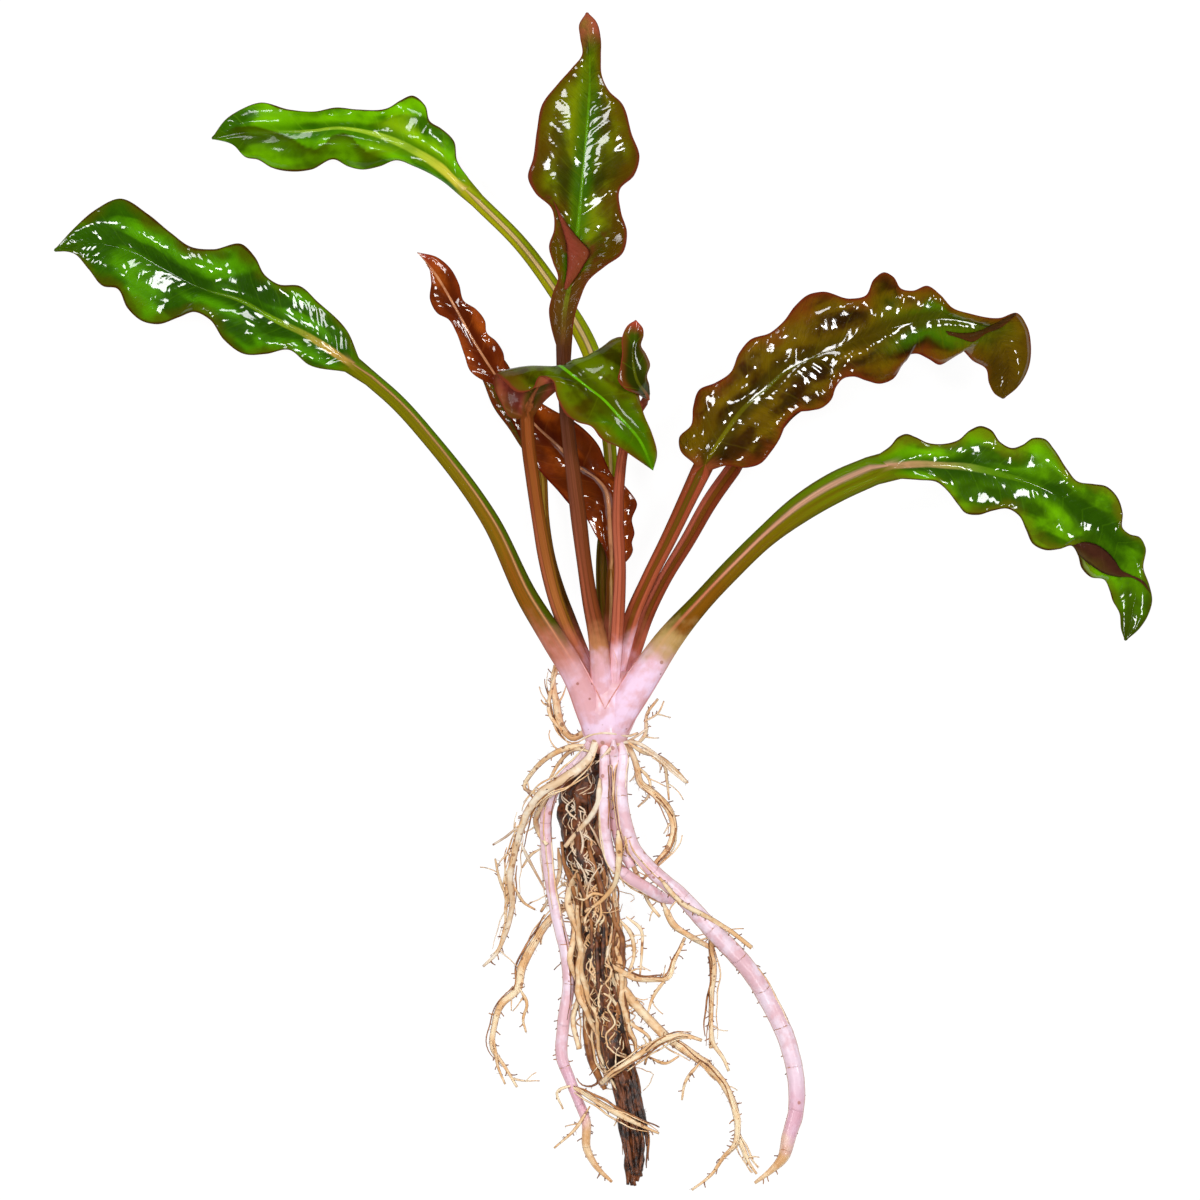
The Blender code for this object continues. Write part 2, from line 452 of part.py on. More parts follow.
def lengths_along(points):
    """The distance walked to each point."""
    steps = np.linalg.norm(np.diff(points[:, :3], axis=0), axis=1)
    return np.concatenate([[0.0], np.cumsum(steps)])


def curve_at(points, places):
    """Points on a smooth curve through the given points, at distances along it."""
    points = np.asarray(points, float)
    walked = lengths_along(points)
    spans = np.diff(walked)[:, None]
    slopes = np.diff(points, axis=0) / spans
    tangents = np.empty_like(points)
    tangents[0], tangents[-1] = slopes[0], slopes[-1]
    tangents[1:-1] = (slopes[:-1] * spans[1:] + slopes[1:] * spans[:-1]) / (spans[1:] + spans[:-1])
    places = np.clip(places, 0.0, walked[-1])
    index = np.clip(np.searchsorted(walked, places, side="right") - 1, 0, len(points) - 2)
    span = spans[index]
    t = ((places - walked[index]) / span[:, 0])[:, None]
    return (
        points[index] * (1 + 2 * t) * (1 - t) ** 2
        + tangents[index] * span * t * (1 - t) ** 2
        + points[index + 1] * t**2 * (3 - 2 * t)
        + tangents[index + 1] * span * t**2 * (t - 1)
    )


def curve_shares(points, shares):
    """Points at shares from 0 to 1 of the length of a smooth curve."""
    points = np.asarray(points, float)
    return curve_at(points, np.asarray(shares) * lengths_along(points)[-1])


def smoothed(values, width):
    """A running average with a bell of the given width in samples."""
    reach = int(3 * width)
    bell = np.exp(-0.5 * (np.arange(-reach, reach + 1) / width) ** 2)
    padded = np.pad(values, reach, mode="edge")
    return np.convolve(padded, bell / bell.sum(), mode="valid")


def unit(vectors):
    return vectors / np.linalg.norm(vectors, axis=-1, keepdims=True)


def petiole_rings(path, turned=False, flatness=PETIOLE_FLATNESS):
    """Ellipses across a path of (x, y, z, half width), from its left edge over its upper face."""
    tangents = unit(np.gradient(path[:, :3], axis=0))
    side = unit(np.cross(tangents, (0.0, 0.0, 1.0)))
    up = np.cross(side, tangents)
    if turned:
        side, up = -side, -up
    count = 2 * (len(ACROSS) - 1)
    angles = math.pi - np.arange(count) * 2 * math.pi / count
    wide = path[:, None, None, 3] * np.cos(angles)[None, :, None] * side[:, None, :]
    deep = path[:, None, None, 3] * np.sin(angles)[None, :, None] * up[:, None, :]
    return path[:, None, :3] + wide + flatness * deep


def margin_by_rule(leaf, midrib, side, shares):
    """A hidden blade's margin: a pointed oval's half width, with waves along it."""
    tangents = unit(np.gradient(midrib[:, :2], axis=0))
    outward = np.stack([tangents[:, 1], -tangents[:, 0]], axis=1) * (1 if side else -1)
    oval = np.sin(math.pi * shares**0.75) ** 0.8
    wave = 1 + 0.1 * np.cos(2 * math.pi * leaf["waves"] * shares + math.pi * side)
    half = leaf["half_widths"][side] * oval * wave + leaf["petiole"][-1][3] * (1 - shares)
    return midrib[:, :2] + outward * half[:, None]


def blade_margin(leaf, midrib, side, shares):
    """One margin of a blade with its heights: it droops where it swings out and lifts between."""
    name = ("left", "right")[side]
    if name not in leaf:
        flat = margin_by_rule(leaf, midrib, side, shares)
    else:
        flat = curve_shares(leaf[name], shares)
    if flat.shape[1] == 3:
        return flat
    half = np.linalg.norm(flat - midrib[:, :2], axis=1)
    ruffle = -RUFFLE * (half - smoothed(half, len(shares) / 9.0))
    fade = np.sin(math.pi * np.clip(shares, 0.0, 1.0)) ** 0.5
    height = midrib[:, 2] + (ruffle + leaf["rise"][side]) * fade
    return np.column_stack([flat, height])


def blade_rings(leaf):
    """Closed lens sections across the blade, thick at the midrib and fine at the margins."""
    stations = leaf.get("stations", BLADE_STATIONS)
    shares = np.linspace(0.0, 1.0, stations * 5)
    midrib = curve_shares(leaf["midrib"], shares)
    margins = [blade_margin(leaf, midrib, side, shares) for side in (0, 1)]
    across = np.array(ACROSS)
    outer = np.where(across[None, :, None] < 0, margins[0][:, None], margins[1][:, None])
    reach = np.abs(across)[None, :, None]
    middle = midrib[:, None] + (outer - midrib[:, None]) * reach
    lift = (outer - midrib[:, None])[:, :, 2] * (reach[:, :, 0] ** 1.5 - reach[:, :, 0])
    middle[:, :, 2] += lift
    picked = np.linspace(0, len(shares) - 1, stations).round().astype(int)
    picked[-1] -= 1
    along = np.gradient(middle, axis=0)[picked]
    over = np.gradient(middle, axis=1)[picked]
    normals = unit(np.cross(over, along))
    middle, shares = middle[picked], shares[picked]
    neck = leaf["petiole"][-1][3] * PETIOLE_FLATNESS
    width = np.linalg.norm(outer - midrib[:, None], axis=2)[picked] * np.abs(across)
    rib_height = neck * (1 - shares) ** 1.6
    rib = rib_height[:, None] * np.exp(-((width / (0.9 * leaf["petiole"][-1][3])) ** 2))
    skin = LAMINA / 2 * np.sqrt(1 - 0.97 * across**4)
    above_share = 0.12 + 0.88 * np.clip(1 - shares / 0.22, 0.0, 1.0) ** 2
    above = middle + normals * (skin + rib * above_share[:, None])[:, :, None]
    below = middle - normals * (skin + rib)[:, :, None]
    edges = middle[:, [0, -1]]
    rings = np.concatenate(
        [edges[:, :1], above[:, 1:-1], edges[:, 1:], below[:, -2:0:-1]], axis=1
    )
    sunk = np.minimum(np.minimum(above[:, :, 2], below[:, :, 2]), 0.0)
    columns = list(range(len(across))) + list(range(len(across) - 2, 0, -1))
    rings[:, :, 2] -= sunk[:, columns]
    return rings, midrib[-1]


def loft(name, rings, start=None, end=None):
    """A mesh through rings of points, closed by a point or a fan at each end."""
    mesh = bmesh.new()
    shift = np.array((*OUTLINE_MIDDLE, 0.0))
    placed = [[mesh.verts.new((point - shift) * MM) for point in ring] for ring in rings]
    count = len(rings[0])
    for here, there in zip(placed, placed[1:]):
        for j in range(count):
            k = (j + 1) % count
            if j < count // 2:
                mesh.faces.new((here[j], here[k], there[k]))
                mesh.faces.new((here[j], there[k], there[j]))
            else:
                mesh.faces.new((here[j], here[k], there[j]))
                mesh.faces.new((here[k], there[k], there[j]))
    first = np.mean(rings[0], axis=0) if start is None else np.asarray(start)
    last = np.mean(rings[-1], axis=0) if end is None else np.asarray(end)
    low = mesh.verts.new((first - shift) * MM)
    high = mesh.verts.new((last - shift) * MM)
    for j in range(count):
        k = (j + 1) % count
        mesh.faces.new((placed[0][k], placed[0][j], low))
        mesh.faces.new((placed[-1][j], placed[-1][k], high))
    mesh.normal_update()
    data = bpy.data.meshes.new(name)
    mesh.to_mesh(data)
    mesh.free()
    return bpy.data.objects.new(name, data)


def finish(obj, collection, material):
    collection.objects.link(obj)
    obj.data.materials.append(material)
    if obj.type == "MESH":
        obj.data.shade_smooth()
        obj.data.set_sharp_from_angle(angle=math.radians(50))
    return obj


def petiole_stretch(leaf, start, end, spacing):
    """The petiole's path between two distances from its root in the crown."""
    count = max(2, int(round((end - start) / spacing)) + 1)
    return curve_at(leaf["petiole"], np.linspace(start, end, count))


def make_leaf(name, leaf, collection, material):
    """One leaf: its petiole and its blade, grown as one piece."""
    whole = lengths_along(np.asarray(leaf["petiole"], float))[-1]
    path = petiole_stretch(leaf, leaf["stub"] + GAP, whole, PETIOLE_SPACING)
    stalk = petiole_rings(path, leaf.get("turned", False))
    blade, tip = blade_rings(leaf)
    rings = np.concatenate([stalk, blade])
    tip = np.array((tip[0], tip[1], max(tip[2], LAMINA / 2)))
    return finish(loft(name, rings, end=tip), collection, material)


def crown_rings(extra=0.0):
    """The crown's sections as rings of points, larger by extra on every side."""
    sections = np.array(CROWN)
    sections[:, 3:] += extra
    sections[0, 1] -= extra
    angles = np.arange(CROWN_SIDES) * 2 * math.pi / CROWN_SIDES
    rings = np.zeros((len(sections), CROWN_SIDES, 3))
    rings[:, :, 0] = sections[:, None, 0] - sections[:, None, 3] * np.cos(angles)
    rings[:, :, 1] = sections[:, None, 1]
    rings[:, :, 2] = sections[:, None, 2] + sections[:, None, 4] * np.sin(angles)
    return rings


def hide_helper(obj, helpers):
    helpers.objects.link(obj)
    obj.hide_render = True
    obj.display_type = "WIRE"
    return obj


def add_boolean(obj, label, operation, other):
    boolean = obj.modifiers.new(label, "BOOLEAN")
    boolean.operation = operation
    boolean.solver = "EXACT"
    boolean.object = other


def make_crown(collection, helpers, material):
    """The short stem with the leaf bases fused around it."""
    crown = finish(loft("crown", crown_rings()), collection, material)
    for name, leaf in LEAVES.items():
        path = petiole_stretch(leaf, 0.0, leaf["stub"], leaf["stub"] / 3)
        stub = loft("base_of_" + name, petiole_rings(path, leaf.get("turned", False)))
        add_boolean(crown, "fuse " + name, "UNION", hide_helper(stub, helpers))
    return crown


def root_path(stations):
    """A root's stations spread evenly along it, none of them lower than the table allows."""
    stations = np.array(stations)
    length = lengths_along(stations)[-1]
    count = max(4, int(round(length / ROOT_STEP)) + 1)
    path = curve_at(stations, np.linspace(0.0, length, count))
    path[:, 2] = np.maximum(path[:, 2], path[:, 3])
    return path


def make_root(name, stations, collection, material):
    """A round root that tapers to its tip, as a bevelled curve."""
    path = root_path(stations)
    thickest = max(station[3] for station in stations)
    curve = bpy.data.curves.new(name, "CURVE")
    curve.dimensions = "3D"
    curve.bevel_depth = thickest * MM
    curve.bevel_resolution = 2 if thickest > 2 else 1
    curve.use_fill_caps = True
    spline = curve.splines.new("POLY")
    spline.points.add(len(path) - 1)
    for point, (x, y, z, radius) in zip(spline.points, path):
        point.co = ((x - OUTLINE_MIDDLE[0]) * MM, (y - OUTLINE_MIDDLE[1]) * MM, z * MM, 1.0)
        point.radius = max(radius, 0.2) / thickest
    return finish(bpy.data.objects.new(name, curve), collection, material)


def as_mesh(root, collection, material):
    """A bevelled curve's skin as a mesh object of the same name, its caps welded to its sides."""
    bpy.context.view_layer.update()
    graph = bpy.context.evaluated_depsgraph_get()
    data = bpy.data.meshes.new_from_object(root.evaluated_get(graph))
    mesh = bmesh.new()
    mesh.from_mesh(data)
    bmesh.ops.remove_doubles(mesh, verts=mesh.verts, dist=WELD * MM)
    bmesh.ops.recalc_face_normals(mesh, faces=mesh.faces)
    mesh.to_mesh(data)
    mesh.free()
    name, place, curve = root.name, root.matrix_world.copy(), root.data
    bpy.data.objects.remove(root, do_unlink=True)
    bpy.data.curves.remove(curve)
    data.name = name
    data.materials.clear()
    solid = finish(bpy.data.objects.new(name, data), collection, material)
    solid.matrix_world = place
    return solid


def room_around(name):
    """The space that a root leaves round the piece it grows from."""
    if name == "crown":
        return loft("room_around_crown", crown_rings(GAP))
    path = root_path(ROOTS[name])
    path[:, 3] += GAP
    return loft("room_around_" + name, petiole_rings(path, flatness=1.0))


def make_roots(collection, helpers):
    """Every root, cut to fit the piece that it grows from."""
    rooms = {}
    for name, stations in ROOTS.items():
        look = BARK if name == "rootstock" else PINK if name.startswith("runner") else TAN
        material = make_material(name + "_skin", *look)
        root = make_root(name, stations, collection, material)
        parent = GROWS_FROM.get(name)
        if parent is None:
            continue
        if parent not in rooms:
            rooms[parent] = hide_helper(room_around(parent), helpers)
        solid = as_mesh(root, collection, material)
        add_boolean(solid, "make room for " + parent, "DIFFERENCE", rooms[parent])


def main():
    clear_scene()
    plant = make_collection("cryptocoryne")
    helpers = make_collection("shapes that cut or fuse")
    for name, leaf in LEAVES.items():
        colour, roughness = LEAF_FINISH.get(name, GREEN)
        make_leaf(name, leaf, plant, make_material(name + "_skin", colour, roughness))
    make_crown(plant, helpers, make_material("crown_skin", *PINK))
    make_roots(plant, helpers)


main()
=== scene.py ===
"""A wet, bare-root cryptocoryne laid on a pale table and seen from straight above.

Places are in millimetres in the table's plane, as in the part's own source: leaves point along +Y,
roots along -Y, z = 0 is the table, and the origin lies under OUTLINE_MIDDLE.
"""

import math

import bpy
import numpy as np
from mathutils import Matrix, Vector, noise
from mathutils.bvhtree import BVHTree


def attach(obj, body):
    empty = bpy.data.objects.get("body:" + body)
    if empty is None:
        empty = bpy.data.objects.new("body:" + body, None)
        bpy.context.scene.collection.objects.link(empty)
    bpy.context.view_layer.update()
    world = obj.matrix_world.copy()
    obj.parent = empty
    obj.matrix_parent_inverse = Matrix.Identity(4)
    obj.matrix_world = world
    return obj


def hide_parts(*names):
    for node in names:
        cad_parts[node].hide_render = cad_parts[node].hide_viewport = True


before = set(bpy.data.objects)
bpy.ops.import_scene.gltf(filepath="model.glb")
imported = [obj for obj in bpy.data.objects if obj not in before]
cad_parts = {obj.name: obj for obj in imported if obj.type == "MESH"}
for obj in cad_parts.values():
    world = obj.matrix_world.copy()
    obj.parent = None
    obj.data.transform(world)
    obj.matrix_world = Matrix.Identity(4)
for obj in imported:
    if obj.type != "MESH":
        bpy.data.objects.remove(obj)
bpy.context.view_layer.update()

MM = 0.001
OUTLINE_MIDDLE = (0.6, -0.3)
TABLE_GAP = 0.02  # what lies on the table keeps this far off it
ABOVE_ALL = 60.0  # the height from which a place on the pieces below is looked for

# Camera and light
PHOTO_SIDE = 240.0  # the square that the picture takes in, at the reference height
REFERENCE_HEIGHT = 14.0
LENS_MM = 1200.0  # so far off that places read alike at every height
SENSOR_MM = 36.0

WORLD_STRENGTH = 0.03
LIGHT_DISTANCE = 1.2
STUDIO_LIGHTS = [  # name, direction from the plant, width and height, watts
    ("upper_left", (-0.22, 0.52, 1.0), (0.18, 0.22), 2.1),
    ("left", (-0.52, 0.27, 1.0), (0.17, 0.17), 2.4),
    ("upper_right", (0.45, 0.30, 1.0), (0.14, 0.17), 2.4),
    ("lower_left", (-0.40, -0.30, 1.0), (0.13, 0.13), 1.6),
    ("lower_right", (0.28, -0.62, 1.0), (0.16, 0.20), 2.5),
    ("overhead", (0.04, 0.10, 1.0), (0.11, 0.11), 1.8),
    ("far_left", (-0.90, 0.00, 1.0), (0.15, 0.18), 1.9),
    ("far_right", (0.90, 0.05, 1.0), (0.15, 0.20), 2.5),
]
FLOOR_GLOW = 0.94
FLOOR_HALF = 3.0  # metres
FLOOR_DROP = 0.0003  # metres that the floor lies under the plant

# Leaf skins
LAMINA = 0.5
PETIOLE_FLATNESS = 0.85
RUFFLE = 0.9  # how far a margin droops for each millimetre that it swings out
TOP_COLUMNS = 49
BLADE_RINGS = 320
PETIOLE_STEP = 1.2
NECK_RINGS = 7
DOME = 0.75  # how high each half of a broad blade swells between the midrib and the margin
CRINKLE = 0.075  # the height of a blade's fine creases, where the leaf doesn't state its own
CHANNEL = 0.2  # the same for the groove along the petiole, as a share of its half width
VEIN_SPACING = 5.2
VEIN_SLANT = 0.85

# Each leaf has the petiole's centre line as (x, y, z, half width), the midrib as (x, y, z), and its
# own left and right margins from base to tip, as seen on its upper face. A margin of (x, y) takes
# its height from the midrib, its side's rise and the ruffle, and one of (x, y, z) states its own.
# The two blades behind others have half widths and a number of waves for their margins instead.
# turned says that the petiole shows its back. crease is the line above a shaded hollow. flap is a
# part of the margin that has rolled over onto the blade: the line where it turns, its edge and how
# high it bulges.
LEAVES = {
    "leaf_low_left": {
        "petiole": [
            (-0.4, -27, 15.6, 2.6), (-2, -22, 17.4, 2.9), (-4.4, -16, 18, 2.7),
            (-9.2, -8, 18.4, 2.5), (-14.2, 0, 18.8, 2.2), (-22, 16, 19.8, 1.8),
            (-33.8, 32, 19.8, 1.6), (-41, 40, 19.2, 1.6), (-45.8, 44.2, 18.4, 1.6),
        ],
        "midrib": [
            (-49.6, 47, 17.6), (-57.8, 52.4, 15.8), (-65.2, 56.2, 13.6), (-71.6, 59.8, 11.6),
            (-79.4, 62.2, 9.2), (-87.8, 66.6, 6.8), (-93.4, 69.6, 5.2), (-101.2, 71.4, 3.2),
            (-109.4, 70, 1.4),
        ],
        "left": [
            (-51, 45.6), (-58.2, 47), (-62.2, 50), (-66.8, 49.2), (-71.2, 49.2), (-75.2, 52),
            (-78.2, 56.2), (-81.2, 57.6), (-84.2, 56.6), (-88.6, 55.2), (-91.6, 55.8),
            (-94.6, 58.4), (-96.8, 62.4), (-99.4, 62.8), (-102.4, 66.2), (-105.4, 69.4),
            (-109.4, 70),
        ],
        "right": [
            (-48.2, 48.4), (-50.4, 53.6), (-56.6, 59.8), (-60, 62.8), (-64.4, 63.2), (-67, 65),
            (-69, 68.6), (-71.6, 71.2), (-77.4, 70.2), (-81.6, 70.6), (-86, 73.6), (-90.4, 77.2),
            (-96.2, 80.4), (-101, 78.2), (-105.4, 74.4), (-109.4, 70),
        ],
        "rise": (0.4, 0.8),
    },
    "leaf_high_left": {
        "petiole": [
            (1.4, -20, 12.6, 1.5), (1.5, -10, 11, 1.5), (0.6, 0, 10.2, 1.3), (0.6, 10, 9.6, 1.3),
            (1.6, 18, 9.2, 1.3), (2.2, 26, 8.8, 1.3), (1.2, 36, 8.4, 1.4), (-2, 50, 8, 1.8),
            (-9, 62, 8, 1.6), (-16, 71.4, 8, 1.5), (-24.4, 79.8, 7.6, 1.5),
        ],
        "midrib": [
            (-27, 82.2, 7.4), (-30, 85.2, 7.2), (-35.4, 89, 6.8), (-41.4, 92, 6.2),
            (-46, 93.6, 5.6), (-52, 94.6, 5), (-58, 94, 4.4), (-66, 93.8, 3.6), (-72, 93.6, 2.8),
            (-77.8, 92.4, 1.6),
        ],
        "left": [
            (-27.6, 80.6), (-31.8, 84), (-37.2, 86.8), (-40.8, 88), (-44.2, 86.8), (-47.8, 86.2),
            (-50.4, 86.8), (-53.2, 88.2), (-57.8, 86.2), (-61.4, 85.8), (-65.8, 86.6),
            (-68.6, 88.2), (-70.8, 88.6), (-73.6, 91.2), (-77.8, 92.4),
        ],
        "right": [
            (-26, 84), (-28.6, 88), (-29.2, 91.8), (-31.8, 94.4), (-34, 95.8), (-35, 99),
            (-37.6, 101), (-40, 100), (-42.2, 98.6), (-48.6, 98.2), (-52.8, 98.6), (-57.2, 97.8),
            (-62.2, 98.2), (-68.2, 99.6), (-72, 98.2), (-74.8, 96.4), (-77.8, 92.4),
        ],
        "crease": [
            (-77.2, 93.4), (-73.1, 95), (-69.2, 95.2), (-65.2, 94.1), (-61.6, 92.7), (-59.2, 91.1),
            (-57, 90.6), (-55.1, 91.6), (-53.7, 93.2), (-51.4, 93.8), (-49.6, 93), (-48.6, 91.6),
            (-46.8, 90.2), (-44, 90.2), (-40.8, 90.6),
        ],
        "crinkle": 0.02, "rise": (-1.6, 2.2),
    },
    "leaf_top": {
        "petiole": [
            (0.8, -20, 17.2, 2.5), (0.2, -14, 18.6, 2.2), (-0.4, -8, 20.2, 1.9), (-2, 0, 21.9, 1.6),
            (-3.2, 8, 23.2, 1.5), (-4.2, 16, 24.4, 1.6), (-5.2, 24, 25.4, 1.5), (-6.6, 36, 26, 1.4),
            (-7.3, 46, 25.6, 1.4),
        ],
        "midrib": [
            (-7.4, 51, 25.2), (-7, 57, 24.8), (-6.2, 62, 24.4), (-5.2, 67, 24), (-4.6, 73.4, 23.4),
            (-4, 78.6, 22.8), (-3.2, 87.4, 21.2), (-2.4, 97, 19), (-2, 105.4, 16.8),
            (-2.2, 110, 15.6), (-2.6, 117.6, 13.6),
        ],
        "left": [
            (-8.8, 51), (-9.8, 54.6), (-10.2, 58), (-9.4, 61.4), (-8.4, 64.4), (-9.4, 67.4),
            (-10.2, 70.6), (-9.2, 74), (-9.6, 78), (-13, 81.4), (-14.4, 84.4), (-13.4, 88.2),
            (-12.6, 94), (-11.6, 99), (-8.6, 103), (-5.6, 106.4), (-3.6, 109), (-4, 112.6),
            (-4.2, 115), (-2.6, 117.6),
        ],
        "right": [
            (-5.6, 51), (-5.2, 56), (-4, 60), (-2.4, 63.6), (1, 66.6), (4.6, 69.4), (5.4, 73.4),
            (4.2, 77.6), (4, 82), (6.8, 84.8), (7.9, 88.6), (6.4, 93), (4.3, 99.4), (1.8, 101.8),
            (0.4, 104.8), (0.2, 108.6), (0.2, 112), (-0.8, 115.8), (-2.6, 117.6),
        ],
        "flap": (
            [(-9.4, 80), (-8, 75.6), (-6.8, 71), (-6.6, 66.4), (-7.2, 62)],
            [(-8.8, 79), (-6.6, 75.2), (-4, 72), (-2, 69.6), (-3.4, 66.4), (-6.6, 62)],
            1.2,
        ),
        "crinkle": 0.1, "rise": (0.8, 0.8),
    },
    "leaf_red": {
        "petiole": [
            (1.6, -20, 15, 1.3), (2, -8, 14.8, 1.3), (2.2, -2, 15, 1.2), (2.2, 3.6, 15.6, 1),
        ],
        "midrib": [
            (2.2, 6.4, 16), (2.1, 11, 16.3), (1.9, 15.4, 16.6), (1.7, 19.4, 17), (1, 22.4, 17.3),
            (-0.6, 24.4, 17.6), (-4.4, 26.8, 17.9), (-8.4, 30.8, 18), (-13, 35, 17.8),
            (-17, 39.8, 17.4), (-20.6, 44.6, 16.8), (-24.8, 51, 15.8), (-29.8, 60, 13.8),
            (-32.8, 65, 12.2), (-36.6, 69.6, 10.4),
        ],
        "right": [
            (1.4, 6.4), (1.4, 8.2), (0.6, 10.6), (-0.8, 12.8), (-3, 16.6), (-6.2, 19.2),
            (-8.4, 21.8), (-11, 24.6), (-13.4, 27.6), (-15, 30.4), (-17, 34.4), (-19.4, 39.4),
            (-21.6, 43.2), (-23.6, 44), (-25.8, 45.6), (-27.2, 49.2), (-28.8, 53.6), (-30.2, 56),
            (-32.6, 57.4), (-34, 60), (-33.8, 63.8), (-34.6, 67.4), (-36.6, 69.6),
        ],
        "left": [
            (3, 6.4), (5.2, 7.6), (6.6, 10), (6.4, 11.4), (6.9, 13.2), (6.4, 16), (7.4, 19.4),
            (6.2, 21.4), (5, 22.8), (2.6, 24.8), (1.4, 27), (-0.2, 30.8), (-3.2, 34.2), (-5.6, 36),
            (-9, 37.8), (-12, 39.6), (-16, 43), (-18.8, 46.4), (-19.4, 49.6), (-20.8, 51.8),
            (-22.6, 53.4), (-23, 55.8), (-24.8, 58.2), (-27.2, 59.8), (-28.2, 63.2), (-29.8, 66.2),
            (-32.6, 68.6), (-36.6, 69.6),
        ],
        "turned": True, "rise": (-0.4, -0.6),
    },
    "leaf_front": {
        "petiole": [
            (-1, -19, 14, 1.7), (-4, -11.6, 14.6, 1.6), (-6.8, -5.4, 16, 1.6), (-8.8, 0, 18.2, 1.5),
            (-10.8, 8, 21.2, 1.5), (-12.2, 16, 24, 1.4), (-13.4, 24, 26.6, 1.4),
            (-14.4, 32, 29, 1.4), (-14.6, 36.4, 30.2, 1.4),
        ],
        "midrib": [
            (-14.4, 39.2, 31.2), (-13.2, 41.8, 32.6), (-11.2, 44.4, 34.4), (-9.4, 46, 36.6),
            (-8, 46.4, 38.8), (-6.4, 45.4, 40.6), (-2.6, 42.4, 41.4), (0.4, 40.2, 41),
            (3.8, 36.6, 39.8), (7.8, 32, 37.6), (10.6, 25.8, 33.8),
        ],
        "right": [
            (-16.2, 36, 30.2), (-18, 36.4, 31), (-19.6, 39, 32), (-21.2, 42.8, 34), (-21, 45, 36.8),
            (-19.2, 43.6, 39.6), (-16.4, 41.4, 41), (-13.6, 42, 42), (-12, 44.6, 43),
            (-9.8, 44, 43.2), (-8.6, 40.4, 42.4), (-7, 37.2, 41.4), (-4.4, 35.4, 40.6),
            (-1.8, 34.6, 40.6), (0.2, 32.2, 39.8), (3.8, 30.4, 38.4), (7.4, 28, 36.2),
            (10.6, 25.8, 33.8),
        ],
        "left": [
            (-13, 37, 31), (-11.6, 39, 31.8), (-8.6, 41.8, 33), (-4, 45.6, 34), (0.4, 49.4, 35.4),
            (3.4, 52.4, 37), (5.2, 52.2, 38.6), (6.4, 49, 38.6), (7.2, 45, 38.4), (7.8, 40.8, 38.8),
            (8.8, 37, 38.6), (10.4, 33.2, 37.4), (11.4, 29, 35.6), (10.6, 25.8, 33.8),
        ],
        "turned": True, "crinkle": 0.02, "rise": (0, 0),
    },
    "leaf_young": {
        "petiole": [
            (2.4, -19, 17.6, 1.4), (3.3, -9, 19.2, 1.3), (3.7, -2, 21, 1.3), (4, 6, 22.8, 1.2),
            (3.6, 16, 24.4, 1.2), (3.9, 24, 26, 1.1), (4.9, 31, 28, 1), (6.8, 36.4, 30.6, 0.9),
            (8.8, 39.4, 33.6, 0.8),
        ],
        "midrib": [
            (9.4, 40.6, 36.4), (8.8, 41.6, 39), (7.4, 43.6, 41.6), (6.6, 46.6, 43), (6.4, 49.6, 44),
            (6.8, 52.8, 44.6), (7.2, 55.8, 44.6),
        ],
        "left": [
            (8.6, 40.4, 37), (7, 41.2, 40.8), (4.8, 42.2, 42.6), (3.6, 43.8, 43.4), (4, 46.2, 44.2),
            (4.4, 49, 45.2), (4.4, 52.4, 45.8), (5.6, 54.8, 45.4), (7.2, 55.8, 44.6),
        ],
        "right": [
            (10, 41.2, 37), (9.8, 43, 39.6), (9.4, 44.8, 41.4), (10, 46.8, 41.8), (9.2, 49, 42.6),
            (8.2, 50.8, 43.8), (8.7, 52.8, 44.4), (8.6, 54, 44.6), (7.2, 55.8, 44.6),
        ],
        "crinkle": 0.02, "rise": (0, 0),
    },
    "leaf_high_right": {
        "petiole": [
            (3, -18, 15.6, 1.6), (4.6, -10, 16.4, 1.6), (6.4, -3.4, 17, 1.6), (9.6, 4, 18, 1.5),
            (13.6, 12, 19.4, 1.6), (17.6, 20.4, 20.8, 1.8), (20, 25.4, 21.6, 2),
        ],
        "midrib": [
            (21.2, 27.6, 22), (25.4, 34, 22.8), (29.2, 38.8, 23.4), (33.4, 42.4, 24),
            (37, 45.6, 24.4), (42.6, 48.4, 24.8), (51.8, 52, 24.6), (57.8, 54.2, 24),
            (64.8, 56, 22.4), (71.8, 56, 20.2), (77.2, 54.4, 18), (80.8, 50.8, 15.6),
            (81.8, 46, 13.2), (80.6, 40.2, 11.2),
        ],
        "left": [
            (18.8, 27.2), (16, 30), (15.8, 32.4), (18.2, 35), (18.6, 38.6), (19.8, 42), (23, 43.4),
            (26, 45.4), (27.8, 49.4), (30, 52), (34, 53.4), (36.6, 55.6), (39, 58.8), (41.6, 61),
            (44.4, 61.6), (50, 60.2), (53, 60.8), (54.8, 64.2), (56.8, 65.5), (58.6, 64.6),
            (60.2, 62.2), (62.4, 61.8), (65.4, 62.8), (68, 61), (70.4, 58.4), (74, 57.2),
            (80, 56.4), (83.4, 57.4), (85.4, 54.8), (86.2, 51), (85.6, 46), (83.4, 42.4),
            (80.6, 40.2),
        ],
        "right": [
            (22.4, 26), (25, 26.8), (29.2, 26.4), (32, 27.2), (34.2, 29.6), (35.8, 32),
            (37.4, 35.4), (39.4, 37.4), (42, 37.8), (44.4, 38.4), (46.2, 40), (47.2, 42.6),
            (48.6, 44.2), (50.6, 44.6), (53.2, 43.8), (56, 43.2), (58.6, 44.2), (60.2, 46.6),
            (61.4, 48.8), (63.2, 49.2), (65.6, 48.2), (68, 47), (69.6, 47.8), (72, 50),
            (74.6, 47.8), (77.2, 46.2), (77.8, 43.4), (79, 41.2), (80.6, 40.2),
        ],
        "flap": (
            [(69, 53.8), (72, 53.4), (75, 53.6), (78, 54.8), (80.8, 56.2), (83, 57.4)],
